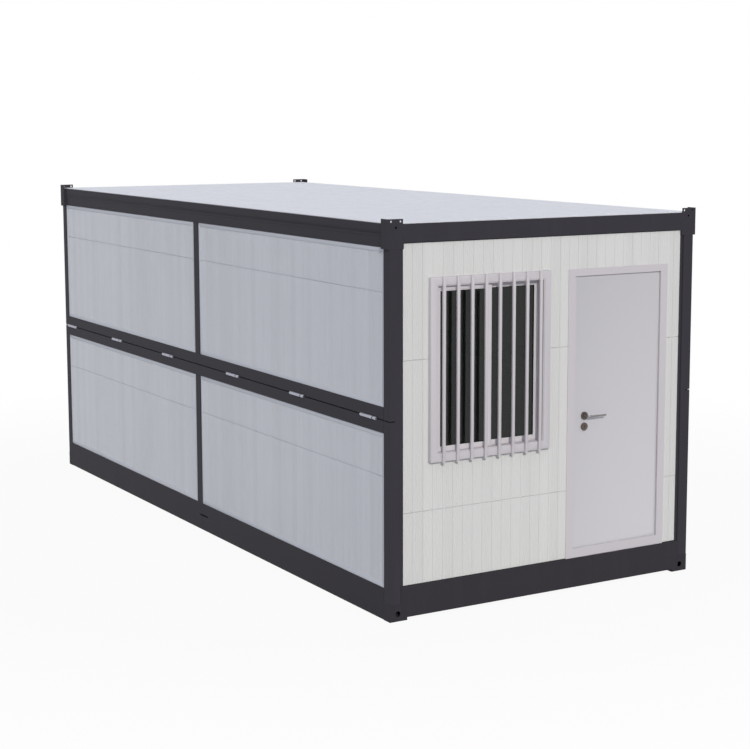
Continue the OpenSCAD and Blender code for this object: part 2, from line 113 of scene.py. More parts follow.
# ---- Workshop: selecting, cutting and joining ----


def select_only(*pieces: bpy.types.Object) -> None:
    """Selects these pieces and nothing else, and makes the first one active.

    Args:
        pieces: The objects to select.
    """
    if bpy.context.object and bpy.context.object.mode != "OBJECT":
        bpy.ops.object.mode_set(mode="OBJECT")
    bpy.ops.object.select_all(action="DESELECT")
    for piece in pieces:
        piece.select_set(True)
    bpy.context.view_layer.objects.active = pieces[0] if pieces else None


def settle(piece: bpy.types.Object, name: str | None = None) -> bpy.types.Object:
    """Moves a piece's place, turn and size into its mesh.

    Args:
        piece: The object.
        name: Its new name, if it gets one.

    Returns:
        The same object.
    """
    select_only(piece)
    bpy.ops.object.transform_apply(location=True, rotation=True, scale=True)
    if name:
        piece.name = piece.data.name = name
    return piece


def place(piece: bpy.types.Object, turn: float, spot: Point) -> bpy.types.Object:
    """Turns a piece about the upright axis and moves it.

    Args:
        piece: A piece modelled round the origin.
        turn: Degrees, counter-clockwise from above.
        spot: How far it moves after the turn.

    Returns:
        The same object, settled.
    """
    piece.rotation_euler = (0.0, 0.0, math.radians(turn))
    piece.location = spot
    return settle(piece)


@contextmanager
def editing(piece: bpy.types.Object, pick: Pick) -> Iterator[None]:
    """Opens a piece in edit mode with nothing selected, and closes it again.

    Args:
        piece: The mesh object.
        pick: What will be selected.

    Yields:
        Nothing.
    """
    select_only(piece)
    bpy.ops.object.mode_set(mode="EDIT")
    bpy.ops.mesh.select_mode(type=pick.value)
    bpy.ops.mesh.select_all(action="DESELECT")
    try:
        yield
    finally:
        bpy.ops.object.mode_set(mode="OBJECT")


def pick_where(piece: bpy.types.Object, kind: Pick, test: Callable[..., bool]) -> None:
    """Selects the points, edges or faces that pass a test, in edit mode.

    Args:
        piece: The object in edit mode.
        kind: What is selected.
        test: Takes a point's place, an edge's two ends, or a face's middle and its normal.
    """
    mesh = bmesh.from_edit_mesh(piece.data)
    mesh.normal_update()
    parts, where = {
        Pick.VERTS: (mesh.verts, lambda v: (v.co,)),
        Pick.EDGES: (mesh.edges, lambda e: (e.verts[0].co, e.verts[1].co)),
        Pick.FACES: (mesh.faces, lambda f: (f.calc_center_median(), f.normal)),
    }[kind]
    for part in [part for part in parts if test(*where(part))]:
        part.select_set(True)
    bmesh.update_edit_mesh(piece.data)


def start_sheet(name: str, low: Corner, high: Corner, y: float) -> bpy.types.Object:
    """Adds an upright flat sheet that faces the front.

    Args:
        name: The piece's name.
        low: Its lowest X and Z.
        high: Its highest X and Z.
        y: Where it stands.

    Returns:
        The sheet, a single face.
    """
    select_only()
    bpy.ops.mesh.primitive_plane_add(
        size=1, location=((low[0] + high[0]) / 2, y, (low[1] + high[1]) / 2), rotation=(math.pi / 2, 0, 0)
    )
    sheet = bpy.context.active_object
    sheet.scale = (high[0] - low[0], high[1] - low[1], 1)
    return settle(sheet, name)


def start_block(name: str, low: Sequence[float], high: Sequence[float]) -> bpy.types.Object:
    """Adds a block between two corners.

    Args:
        name: The piece's name.
        low: Its lowest corner.
        high: Its highest corner.

    Returns:
        The block, ready to be shaped.
    """
    select_only()
    low, high = Vector(low), Vector(high)
    bpy.ops.mesh.primitive_cube_add(size=1, location=(low + high) / 2)
    block = bpy.context.active_object
    block.scale = high - low
    return settle(block, name)


def start_round(
    name: str, start: Sequence[float], axis: Axis, radius: float, length: float, sides: int
) -> bpy.types.Object:
    """Adds a round bar that runs along one direction from its start.

    Args:
        name: The piece's name.
        start: The middle of its first end.
        axis: The direction that it runs in.
        radius: Its radius.
        length: Its length, towards the positive direction.
        sides: How many flats stand for the round.

    Returns:
        The bar, ready to be shaped.
    """
    select_only()
    along = {Axis.X: Vector((1, 0, 0)), Axis.Y: Vector((0, 1, 0)), Axis.Z: Vector((0, 0, 1))}[axis]
    bpy.ops.mesh.primitive_cylinder_add(
        vertices=sides,
        radius=radius,
        depth=length,
        location=Vector(start) + along * length / 2,
        rotation=axis.value,
    )
    return settle(bpy.context.active_object, name)


def cut_across(piece: bpy.types.Object, point: Point, normal: Point, drop_beyond: bool = False) -> None:
    """Cuts a piece along a plane.

    Args:
        piece: The mesh object.
        point: A point on the plane.
        normal: The plane's direction.
        drop_beyond: Whether what lies beyond the plane is removed.
    """
    with editing(piece, Pick.FACES):
        bpy.ops.mesh.select_all(action="SELECT")
        bpy.ops.mesh.bisect(plane_co=point, plane_no=normal, clear_outer=drop_beyond, threshold=CUT_REACH)


def cut_opening(sheet: bpy.types.Object, low: Corner, high: Corner) -> None:
    """Cuts a rectangular opening in an upright sheet.

    Args:
        sheet: The sheet.
        low: The opening's lowest X and Z.
        high: The opening's highest X and Z.
    """
    for x in (low[0], high[0]):
        cut_across(sheet, (x, 0, 0), (1, 0, 0))
    for z in (low[1], high[1]):
        cut_across(sheet, (0, 0, z), (0, 0, 1))
    with editing(sheet, Pick.FACES):
        pick_where(sheet, Pick.FACES, lambda c, n: low[0] < c.x < high[0] and low[1] < c.z < high[1])
        bpy.ops.mesh.delete(type="FACE")


def thicken(sheet: bpy.types.Object, depth: float) -> None:
    """Extrudes an upright sheet backwards to a flat back.

    Args:
        sheet: A sheet whose face is towards the front, at Y = its front.
        depth: How far the back lies behind the front.
    """
    front = min(v.co.y for v in sheet.data.vertices)
    with editing(sheet, Pick.FACES):
        bpy.ops.mesh.select_all(action="SELECT")
        bpy.ops.mesh.extrude_region_move(TRANSFORM_OT_translate={"value": (0, depth, 0)})
        bpy.ops.transform.resize(value=(1, 0, 1), center_override=(0, front + depth, 0))
        bpy.ops.mesh.select_all(action="SELECT")
        bpy.ops.mesh.normals_make_consistent(inside=False)


def apply_modifiers(piece: bpy.types.Object) -> None:
    """Applies every modifier of a piece, in order.

    Args:
        piece: The mesh object.
    """
    select_only(piece)
    for modifier in list(piece.modifiers):
        bpy.ops.object.modifier_apply(modifier=modifier.name)


def soften(
    piece: bpy.types.Object, width: float, segments: int = 2, angle: float = 30.0
) -> bpy.types.Object:
    """Rounds a piece's sharp edges and shades it smooth.

    Args:
        piece: The mesh object.
        width: How far the rounding reaches from an edge.
        segments: How many flats stand for the rounding.
        angle: Edges sharper than this many degrees are rounded.

    Returns:
        The same object.
    """
    bevel = piece.modifiers.new("soft_edges", "BEVEL")
    bevel.width = width
    bevel.segments = segments
    bevel.limit_method = "ANGLE"
    bevel.angle_limit = math.radians(angle)
    apply_modifiers(piece)
    select_only(piece)
    bpy.ops.object.shade_smooth_by_angle(angle=math.radians(angle))
    return piece


def repeat(piece: bpy.types.Object, count: int, step: Point, weld: bool = False) -> None:
    """Repeats a piece's mesh in a row.

    Args:
        piece: The mesh object.
        count: How many there are in all.
        step: From one to the next.
        weld: Whether points that meet become one.
    """
    row = piece.modifiers.new("row", "ARRAY")
    row.count = count
    row.use_relative_offset = False
    row.use_constant_offset = True
    row.constant_offset_displace = step
    row.use_merge_vertices = weld
    row.merge_threshold = WELD_REACH
    apply_modifiers(piece)


def copy_of(piece: bpy.types.Object) -> bpy.types.Object:
    """Copies a piece.

    Args:
        piece: The mesh object.

    Returns:
        The copy, with its own mesh.
    """
    select_only(piece)
    bpy.ops.object.duplicate(linked=False)
    return bpy.context.active_object


def join(name: str, pieces: Sequence[bpy.types.Object]) -> bpy.types.Object:
    """Joins pieces into one object.

    Args:
        name: The joined piece's name.
        pieces: What is joined; the first one stays.

    Returns:
        The joined piece.
    """
    select_only(*pieces)
    bpy.ops.object.join()
    whole = bpy.context.active_object
    whole.name = whole.data.name = name
    return whole


def picture_frame(
    name: str, low: Corner, high: Corner, width: float, front: float, back: float, soft: float
) -> bpy.types.Object:
    """A mitred rectangular frame, as welded window profiles make it.

    Args:
        name: The piece's name.
        low: The frame's lowest X and Z.
        high: The frame's highest X and Z.
        width: How wide each member looks from the front.
        front: Y of its front.
        back: Y of its back.
        soft: Rounding of its edges.

    Returns:
        The frame.
    """
    ring = start_sheet(name, low, high, front)
    with editing(ring, Pick.FACES):
        bpy.ops.mesh.select_all(action="SELECT")
        bpy.ops.mesh.inset(thickness=width)
        bpy.ops.mesh.delete(type="FACE")
    thicken(ring, back - front)
    return soften(ring, soft)


# ---- Finishes ----


class NodeSheet:
    """Lays out and wires the nodes of one material or node group."""

    def __init__(self, tree: bpy.types.NodeTree) -> None:
        """Starts with an empty tree.

        Args:
            tree: The material's or the group's tree.
        """
        self.tree = tree
        self.tree.nodes.clear()

    def add(
        self, kind: str, values: dict[str | int, object] | None = None, **settings: object
    ) -> bpy.types.Node:
        """Adds a node.

        Args:
            kind: The node's type, without its ShaderNode prefix.
            values: Values of its inputs, by name or number.
            settings: The node's own settings.

        Returns:
            The node.
        """
        node = self.tree.nodes.new(kind if kind.startswith("Node") else "ShaderNode" + kind)
        for key, value in settings.items():
            setattr(node, key, value)
        for key, value in (values or {}).items():
            node.inputs[key].default_value = value
        return node

    def wire(
        self, source: bpy.types.Node, output: str | int, target: bpy.types.Node, socket: str | int
    ) -> None:
        """Joins an output to an input.

        Args:
            source: The node that gives the value.
            output: Its output, by name or number.
            target: The node that takes it.
            socket: Its input, by name or number.
        """
        self.tree.links.new(source.outputs[output], target.inputs[socket])

    def ramp(self, source: bpy.types.Node, output: str | int, low: float, high: float) -> bpy.types.Node:
        """Spreads part of a value's range over 0 to 1.

        Args:
            source: The node that gives the value.
            output: Its output.
            low: What becomes 0.
            high: What becomes 1.

        Returns:
            The Map Range node; its output is Result.
        """
        spread = self.add("MapRange", {"From Min": low, "From Max": high}, clamp=True)
        self.wire(source, output, spread, "Value")
        return spread


class Effect(Enum):
    """Surface effects that several finishes share, each one node group."""

    FINE_GRAIN = "fine_grain"
    RAIN_FILM = "rain_film"
    SHEET_TONE = "sheet_tone"
    BRUSHED_LINES = "brushed_lines"
    BOARD_GRAIN = "board_grain"


class EffectShop:
    """Builds each shared effect once and places it in materials."""

    _built: dict[Effect, bpy.types.NodeTree] = {}

    @classmethod
    def group(cls, effect: Effect) -> bpy.types.NodeTree:
        """Finds the node group of an effect, and builds it when it is first asked for.

        Args:
            effect: Which effect.

        Returns:
            The group's tree.
        """
        if effect not in cls._built:
            cls._built[effect] = getattr(cls, "_" + effect.value)()
        return cls._built[effect]

    @classmethod
    def use(cls, sheet: NodeSheet, effect: Effect, **values: float) -> bpy.types.Node:
        """Places an effect in a material.

        Args:
            sheet: The material's nodes.
            effect: Which effect.
            values: The group's inputs by name, with _ for a space.

        Returns:
            The group node.
        """
        node = sheet.add("Group", node_tree=cls.group(effect))
        for key, value in values.items():
            node.inputs[key.replace("_", " ")].default_value = value
        return node

    @staticmethod
    def _new(
        effect: Effect, inputs: dict[str, float], outputs: Sequence[str]
    ) -> tuple[NodeSheet, bpy.types.Node, bpy.types.Node]:
        """Starts a group with its sockets.

        Args:
            effect: Which effect.
            inputs: Its float inputs and their usual values.
            outputs: Its float outputs.

        Returns:
            The group's nodes, its input node and its output node.
        """
        tree = bpy.data.node_groups.new(effect.value, "ShaderNodeTree")
        for name, value in inputs.items():
            socket = tree.interface.new_socket(name, in_out="INPUT", socket_type="NodeSocketFloat")
            socket.default_value = value
        for name in outputs:
            tree.interface.new_socket(name, in_out="OUTPUT", socket_type="NodeSocketFloat")
        sheet = NodeSheet(tree)
        return sheet, sheet.add("NodeGroupInput"), sheet.add("NodeGroupOutput")

    @classmethod
    def _fine_grain(cls) -> bpy.types.NodeTree:
        """Orange peel of sprayed or coated steel: Height.

        Returns:
            The group's tree.
        """
        sheet, given, out = cls._new(Effect.FINE_GRAIN, {"Scale": 400.0}, ["Height"])
        place_at = sheet.add("TexCoord")
        noise = sheet.add("TexNoise", {"Detail": 2.0, "Roughness": 0.55})
        sheet.wire(place_at, "Object", noise, "Vector")
        sheet.wire(given, "Scale", noise, "Scale")
        sheet.wire(noise, "Fac", out, "Height")
        return sheet.tree

    @classmethod
    def _rain_film(cls) -> bpy.types.NodeTree:
        """Dried rain runs, and splashes near the ground: Film, from 0 to 1.

        Returns:
            The group's tree.
        """
        inputs = {"Runs": 0.5, "Splash": 0.5, "Splash Height": 0.5}
        sheet, given, out = cls._new(Effect.RAIN_FILM, inputs, ["Film"])
        place_at = sheet.add("TexCoord")
        stretch = sheet.add("Mapping", {"Scale": (9.0, 9.0, 0.55)})
        sheet.wire(place_at, "Object", stretch, "Vector")
        runs = sheet.add("TexNoise", {"Scale": 1.0, "Detail": 5.0, "Roughness": 0.6})
        sheet.wire(stretch, "Vector", runs, "Vector")
        run_mask = sheet.ramp(runs, "Fac", low=0.48, high=0.78)
        run_part = sheet.add("Math", operation="MULTIPLY")
        sheet.wire(run_mask, "Result", run_part, 0)
        sheet.wire(given, "Runs", run_part, 1)
        parts = sheet.add("SeparateXYZ")
        sheet.wire(place_at, "Object", parts, "Vector")
        fade = sheet.add("MapRange", {"From Min": 0.0, "To Min": 1.0, "To Max": 0.0}, clamp=True)
        sheet.wire(parts, "Z", fade, "Value")
        sheet.wire(given, "Splash Height", fade, "From Max")
        drops = sheet.add("TexNoise", {"Scale": 14.0, "Detail": 6.0, "Roughness": 0.7})
        sheet.wire(place_at, "Object", drops, "Vector")
        drop_mask = sheet.ramp(drops, "Fac", low=0.42, high=0.72)
        low = sheet.add("Math", operation="MULTIPLY")
        sheet.wire(fade, "Result", low, 0)
        sheet.wire(drop_mask, "Result", low, 1)
        low_part = sheet.add("Math", operation="MULTIPLY")
        sheet.wire(low, "Value", low_part, 0)
        sheet.wire(given, "Splash", low_part, 1)
        both = sheet.add("Math", operation="ADD", use_clamp=True)
        sheet.wire(run_part, "Value", both, 0)
        sheet.wire(low_part, "Value", both, 1)
        sheet.wire(both, "Value", out, "Film")
        return sheet.tree

    @classmethod
    def _sheet_tone(cls) -> bpy.types.NodeTree:
        """Slow drift of a coating's tone, and a small step from one rib to the next: Tone, near 0.5.

        Returns:
            The group's tree.
        """
        inputs = {"Drift": 0.5, "Rib Step": 0.5, "Rib Pitch": 0.077}
        sheet, given, out = cls._new(Effect.SHEET_TONE, inputs, ["Tone"])
        place_at = sheet.add("TexCoord")
        drift = sheet.add("TexNoise", {"Scale": 1.1, "Detail": 2.0})
        sheet.wire(place_at, "Object", drift, "Vector")
        parts = sheet.add("SeparateXYZ")
        sheet.wire(place_at, "Object", parts, "Vector")
        along = sheet.add("Math", operation="ADD")
        sheet.wire(parts, "X", along, 0)
        sheet.wire(parts, "Y", along, 1)
        share = sheet.add("Math", operation="DIVIDE")
        sheet.wire(along, "Value", share, 0)
        sheet.wire(given, "Rib Pitch", share, 1)
        step = sheet.add("Math", operation="FLOOR")
        sheet.wire(share, "Value", step, 0)
        chance = sheet.add("TexWhiteNoise", noise_dimensions="1D")
        sheet.wire(step, "Value", chance, "W")
        terms = []
        for source, output, strength in ((drift, "Fac", "Drift"), (chance, "Value", "Rib Step")):
            centred = sheet.add("Math", {1: 0.5}, operation="SUBTRACT")
            sheet.wire(source, output, centred, 0)
            term = sheet.add("Math", operation="MULTIPLY")
            sheet.wire(centred, "Value", term, 0)
            sheet.wire(given, strength, term, 1)
            terms.append(term)
        total = sheet.add("Math", operation="ADD")
        sheet.wire(terms[0], "Value", total, 0)
        sheet.wire(terms[1], "Value", total, 1)
        tone = sheet.add("Math", {1: 0.5}, operation="ADD", use_clamp=True)
        sheet.wire(total, "Value", tone, 0)
        sheet.wire(tone, "Value", out, "Tone")
        return sheet.tree

    @classmethod
    def _brushed_lines(cls) -> bpy.types.NodeTree:
        """Fine lines along the cabin's length or width, left by brushing: Tone and Height.

        Returns:
            The group's tree.
        """
        sheet, given, out = cls._new(Effect.BRUSHED_LINES, {"Fineness": 900.0}, ["Tone", "Height"])
        place_at = sheet.add("TexCoord")
        stretch = sheet.add("Mapping", {"Scale": (0.03, 0.03, 1.0)})
        sheet.wire(place_at, "Object", stretch, "Vector")
        noise = sheet.add("TexNoise", {"Detail": 3.0, "Roughness": 0.65})
        sheet.wire(stretch, "Vector", noise, "Vector")
        sheet.wire(given, "Fineness", noise, "Scale")
        sheet.wire(noise, "Fac", out, "Height")
        sheet.wire(sheet.ramp(noise, "Fac", low=0.3, high=0.7), "Result", out, "Tone")
        return sheet.tree

    @classmethod
    def _board_grain(cls) -> bpy.types.NodeTree:
        """Wood print of a floor board across the cabin: Tone and Height.

        Returns:
            The group's tree.
        """
        sheet, given, out = cls._new(Effect.BOARD_GRAIN, {"Scale": 6.0}, ["Tone", "Height"])
        place_at = sheet.add("TexCoord")
        stretch = sheet.add("Mapping", {"Scale": (0.35, 4.0, 4.0)})
        sheet.wire(place_at, "Object", stretch, "Vector")
        rings = sheet.add(
            "TexWave",
            {"Distortion": 7.0, "Detail": 3.0, "Detail Scale": 1.4},
            wave_type="BANDS",
            bands_direction="Y",
        )
        sheet.wire(stretch, "Vector", rings, "Vector")
        sheet.wire(given, "Scale", rings, "Scale")
        pores = sheet.add("TexNoise", {"Scale": 55.0, "Detail": 4.0})
        sheet.wire(stretch, "Vector", pores, "Vector")
        mixed = sheet.add("Mix", {"Factor": 0.4}, data_type="FLOAT")
        sheet.wire(rings, "Fac", mixed, 2)
        sheet.wire(pores, "Fac", mixed, 3)
        sheet.wire(mixed, 0, out, "Tone")
        sheet.wire(pores, "Fac", out, "Height")
        return sheet.tree


def shade(colour: Colour, factor: float) -> Rgba:
    """A colour made lighter or darker, for a node's socket.

    Args:
        colour: Linear red, green and blue.
        factor: What each is multiplied by.

    Returns:
        The colour with an alpha of 1.
    """
    return (*(min(1.0, c * factor) for c in colour), 1.0)


@dataclass(frozen=True)
class Finish:
    """What every finish has: a name, a colour and how it takes the light."""

    name: str
    colour: Colour
    roughness: float = 0.5

    def material(self) -> bpy.types.Material:
        """Finds the finish's material, and builds it when it is first asked for.

        Returns:
            The material.
        """
        made = bpy.data.materials.get(self.name)
        if made is None:
            made = bpy.data.materials.new(self.name)
            made.use_nodes = True
            made.diffuse_color = (*self.colour, 1.0)
            sheet = NodeSheet(made.node_tree)
            plain = {"Base Color": (*self.colour, 1.0), "Roughness": self.roughness}
            shader = sheet.add("BsdfPrincipled", plain)
            sheet.wire(shader, "BSDF", sheet.add("OutputMaterial"), "Surface")
            self.dress(sheet, shader)
        return made

    def dress(self, sheet: NodeSheet, shader: bpy.types.Node) -> None:
        """Adds what makes this kind of finish; a plain finish adds nothing.

        Args:
            sheet: The material's nodes.
            shader: Its Principled BSDF.
        """

    @staticmethod
    def blend(
        sheet: NodeSheet, mask: bpy.types.Node, output: str | int, low: Rgba, high: Rgba
    ) -> bpy.types.Node:
        """Mixes two colours by a mask.

        Args:
            sheet: The material's nodes.
            mask: The node that gives the mask.
            output: Its output.
            low: The colour where the mask is 0.
            high: The colour where it is 1.

        Returns:
            The Mix node; its colour is output 2.
        """
        mix = sheet.add("Mix", {6: low, 7: high}, data_type="RGBA")
        sheet.wire(mask, output, mix, 0)
        return mix

    def dull(
        self, sheet: NodeSheet, shader: bpy.types.Node, mask: bpy.types.Node, output: str | int, rise: float
    ) -> None:
        """Makes the surface rougher by a mask.

        Args:
            sheet: The material's nodes.
            shader: Its Principled BSDF.
            mask: The node that gives the mask.
            output: Its output.
            rise: How much roughness a full mask adds.
        """
        gloss = sheet.add("MapRange", {"To Min": self.roughness, "To Max": min(1.0, self.roughness + rise)})
        sheet.wire(mask, output, gloss, "Value")
        sheet.wire(gloss, "Result", shader, "Roughness")

    @staticmethod
    def bump(
        sheet: NodeSheet, shader: bpy.types.Node, height: bpy.types.Node, output: str | int, depth: float
    ) -> None:
        """Bumps the surface by a height.

        Args:
            sheet: The material's nodes.
            shader: Its Principled BSDF.
            height: The node that gives the height, from 0 to 1.
            output: Its output.
            depth: How deep a full step is, in metres.
        """
        bump = sheet.add("Bump", {"Strength": 1.0, "Distance": depth})
        sheet.wire(height, output, bump, "Height")
        sheet.wire(bump, "Normal", shader, "Normal")


@dataclass(frozen=True)
class FramePaint(Finish):
    """Two-pack satin paint on structural steel."""

    peel: float = 0.00006
    peel_scale: float = 260.0
    film: float = 0.35
    film_light: float = 1.5
    film_matt: float = 0.25
    splash: float = 0.3
    splash_height: float = 0.3
    shine: float = 0.10

    def dress(self, sheet: NodeSheet, shader: bpy.types.Node) -> None:
        """Adds orange peel, a faint film of dried rain and uneven gloss.

        Args:
            sheet: The material's nodes.
            shader: Its Principled BSDF.
        """
        shader.inputs["Specular IOR Level"].default_value = self.shine
        film = EffectShop.use(
            sheet, Effect.RAIN_FILM, Runs=self.film, Splash=self.film * self.splash,
            Splash_Height=self.splash_height,
        )
        dusty = shade(self.colour, self.film_light)
        mix = self.blend(sheet, film, "Film", shade(self.colour, 1.0), dusty)
        sheet.wire(mix, 2, shader, "Base Color")
        self.dull(sheet, shader, film, "Film", self.film_matt)
        grain = EffectShop.use(sheet, Effect.FINE_GRAIN, Scale=self.peel_scale)
        self.bump(sheet, shader, grain, "Height", self.peel)


@dataclass(frozen=True)
class CoatedSheet(Finish):
    """Coil-coated steel skin of a sandwich panel."""

    drift: float = 0.35
    rib_step: float = 0.40
    darkest: float = 0.93
    lightest: float = 1.07
    film: float = 0.25
    film_share: float = 0.10
    film_matt: float = 0.2
    splash: float = 1.6
    splash_height: float = 0.55
    dust: Colour = (0.50, 0.46, 0.40)
    emboss: float = 0.00004
    emboss_scale: float = 520.0
    shine: float = 0.3

    def dress(self, sheet: NodeSheet, shader: bpy.types.Node) -> None:
        """Adds tone steps between ribs, a faint film low down and a fine embossed grain.

        Args:
            sheet: The material's nodes.
            shader: Its Principled BSDF.
        """
        shader.inputs["Specular IOR Level"].default_value = self.shine
        tone = EffectShop.use(sheet, Effect.SHEET_TONE, Drift=self.drift, Rib_Step=self.rib_step)
        dark, pale = shade(self.colour, self.darkest), shade(self.colour, self.lightest)
        body = self.blend(sheet, tone, "Tone", dark, pale)
        film = EffectShop.use(
            sheet, Effect.RAIN_FILM, Runs=self.film, Splash=self.film * self.splash,
            Splash_Height=self.splash_height,
        )
        dusty = sheet.add("Mix", {7: shade(self.dust, 1.0)}, data_type="RGBA")
        light = sheet.add("Math", {1: self.film_share}, operation="MULTIPLY")
        sheet.wire(film, "Film", light, 0)
        sheet.wire(light, "Value", dusty, 0)
        sheet.wire(body, 2, dusty, 6)
        sheet.wire(dusty, 2, shader, "Base Color")
        self.dull(sheet, shader, film, "Film", self.film_matt)
        grain = EffectShop.use(sheet, Effect.FINE_GRAIN, Scale=self.emboss_scale)
        self.bump(sheet, shader, grain, "Height", self.emboss)


@dataclass(frozen=True)
class BrushedMetal(Finish):
    """Plated, brushed or bronzed steel."""

    lines: float = 0.00002
    fineness: float = 900.0
    darkest: float = 0.86
    lightest: float = 1.08
    line_matt: float = 0.16

    def dress(self, sheet: NodeSheet, shader: bpy.types.Node) -> None:
        """Adds brushing lines to the tone, the gloss and the surface.

        Args:
            sheet: The material's nodes.
            shader: Its Principled BSDF.
        """
        shader.inputs["Metallic"].default_value = 1.0
        brushed = EffectShop.use(sheet, Effect.BRUSHED_LINES, Fineness=self.fineness)
        dark, pale = shade(self.colour, self.darkest), shade(self.colour, self.lightest)
        sheet.wire(self.blend(sheet, brushed, "Tone", dark, pale), 2, shader, "Base Color")
        self.dull(sheet, shader, brushed, "Tone", self.line_matt)
        self.bump(sheet, shader, brushed, "Height", self.lines)


@dataclass(frozen=True)
class MouldedPlastic(Finish):
    """Extruded or moulded plastic."""

    grain: float = 0.00003
    grain_scale: float = 700.0
    grain_matt: float = 0.12
    drift: float = 0.4
    darkest: float = 0.95
    lightest: float = 1.05
    shine: float = 0.35

    def dress(self, sheet: NodeSheet, shader: bpy.types.Node) -> None:
        """Adds a faint grain and a slow drift of tone.

        Args:
            sheet: The material's nodes.
            shader: Its Principled BSDF.
        """
        shader.inputs["Specular IOR Level"].default_value = self.shine
        tone = EffectShop.use(sheet, Effect.SHEET_TONE, Drift=self.drift, Rib_Step=0.0)
        dark, pale = shade(self.colour, self.darkest), shade(self.colour, self.lightest)
        sheet.wire(self.blend(sheet, tone, "Tone", dark, pale), 2, shader, "Base Color")
        grain = EffectShop.use(sheet, Effect.FINE_GRAIN, Scale=self.grain_scale)
        self.bump(sheet, shader, grain, "Height", self.grain)
        self.dull(sheet, shader, grain, "Height", self.grain_matt)


@dataclass(frozen=True)
class TintedGlass(Finish):
    """Body-tinted window glass."""

    clear: float = 0.95
    bend: float = 1.40
    shine: float = 0.2
    dust: float = 0.6
    dust_matt: float = 0.06

    def dress(self, sheet: NodeSheet, shader: bpy.types.Node) -> None:
        """Lets light through and adds a trace of dust to the gloss.

        Args:
            sheet: The material's nodes.
            shader: Its Principled BSDF.
        """
        shader.inputs["Transmission Weight"].default_value = self.clear
        shader.inputs["IOR"].default_value = self.bend
        shader.inputs["Specular IOR Level"].default_value = self.shine
        film = EffectShop.use(sheet, Effect.RAIN_FILM, Runs=self.dust, Splash=0.0)
        self.dull(sheet, shader, film, "Film", self.dust_matt)


@dataclass(frozen=True)
class FloorBoard(Finish):
    """Printed hard-wearing floor board."""

    print_scale: float = 6.0
    darkest: float = 0.62
    lightest: float = 1.25
    pores: float = 0.00015

    def dress(self, sheet: NodeSheet, shader: bpy.types.Node) -> None:
        """Adds a wood print and its pores.

        Args:
            sheet: The material's nodes.
            shader: Its Principled BSDF.
        """
        grain = EffectShop.use(sheet, Effect.BOARD_GRAIN, Scale=self.print_scale)
        dark, pale = shade(self.colour, self.darkest), shade(self.colour, self.lightest)
        sheet.wire(self.blend(sheet, grain, "Tone", dark, pale), 2, shader, "Base Color")
        self.bump(sheet, shader, grain, "Height", self.pores)


class Paintbox:
    """The cabin's finishes."""

    ANTHRACITE = FramePaint("anthracite_frame_paint", (0.0385, 0.0360, 0.0435), 0.60)
    # A darker copy of the frame paint for the base beams and feet: painted shade, as the low steel gets
    # less light.
    SHADED_BASE_PAINT = FramePaint("base_frame_paint", (0.0340, 0.0308, 0.0375), 0.60)
    END_SKIN = CoatedSheet("end_wall_coating", (0.668, 0.664, 0.650), 0.5)
    # The long sides take darker, bluer copies of the end walls' panel coating: painted shade and a painted
    # cool tint of sky light.
    SHADED_SIDE_SKIN = CoatedSheet("side_wall_coating", (0.584, 0.596, 0.630), 0.5)
    SHADED_SIDE_TRIM = CoatedSheet("panel_trim_coating", (0.572, 0.588, 0.632), 0.42, drift=0.2, rib_step=0.0)
    ROOF = CoatedSheet("roof_coating", (0.735, 0.740, 0.770), 0.55, drift=0.25, rib_step=0.0, film=0.4)
    ZINC = BrushedMetal("zinc_plating", (0.41, 0.42, 0.495), 0.38)
    WASHER = BrushedMetal("washer_steel", (0.10, 0.095, 0.10), 0.42)
    LEVER = BrushedMetal("lever_steel", (0.24, 0.23, 0.23), 0.36, fineness=1400.0)
    ROSE = BrushedMetal("rose_bronze", (0.13, 0.108, 0.098), 0.40, fineness=1400.0)
    WINDOW_WHITE = MouldedPlastic("window_profile", (0.576, 0.545, 0.565), 0.42)
    # A lighter copy of the window profile's white for the sashes: painted light that lifts the sash rails,
    # which lie in the frame's shade.
    LIT_SASH_WHITE = MouldedPlastic("sash_profile_painted_light", (0.660, 0.625, 0.648), 0.42)
    DOOR_FACE = CoatedSheet(
        "door_coating", (0.586, 0.570, 0.593), 0.48, drift=0.15, rib_step=0.0, film=0.15
    )
    RUBBER = MouldedPlastic("black_rubber", (0.018, 0.018, 0.019), 0.75, grain=0.00008)
    SEALANT = MouldedPlastic("window_sealant", (0.66, 0.65, 0.65), 0.65, grain=0.00008)
    PILE = MouldedPlastic("pile_seal", (0.62, 0.59, 0.61), 0.9, grain=0.0003)
    DOOR_SEAL = MouldedPlastic("door_seal_rubber", (0.60, 0.58, 0.60), 0.65, grain=0.00008)
    GLASS = TintedGlass("tinted_glass", (0.095, 0.115, 0.103), 0.01)
    CEILING = MouldedPlastic("ceiling_board", (0.72, 0.72, 0.71), 0.7)
    FLOOR = FloorBoard("floor_board", (0.36, 0.25, 0.16), 0.5)


def hand_over(
    piece: bpy.types.Object, finish: Finish, body: str = "cabin", replaces: Sequence[str] = ()
) -> bpy.types.Object:
    """Gives a finished piece its finish, its body and the nodes that it stands for.

    Args:
        piece: The piece, in place.
        finish: Its finish.
        body: The body that it moves with.
        replaces: The model's nodes that it stands for.

    Returns:
        The same object.
    """
    piece.data.materials.clear()
    piece.data.materials.append(finish.material())
    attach(piece, body)
    if replaces:
        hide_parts(*replaces)
    log.info("%s: %d faces", piece.name, len(piece.data.polygons))
    return piece


def dress_node(node: str, finish: Finish) -> None:
    """Gives one of the model's own nodes its finish.

    Args:
        node: The node's name.
        finish: The finish.
    """
    owner = frame["nodes"][node]
    owner.data.materials.clear()
    owner.data.materials.append(finish.material())
    log.info("%s: %s", node, finish.name)


# ---- Sub-assemblies ----


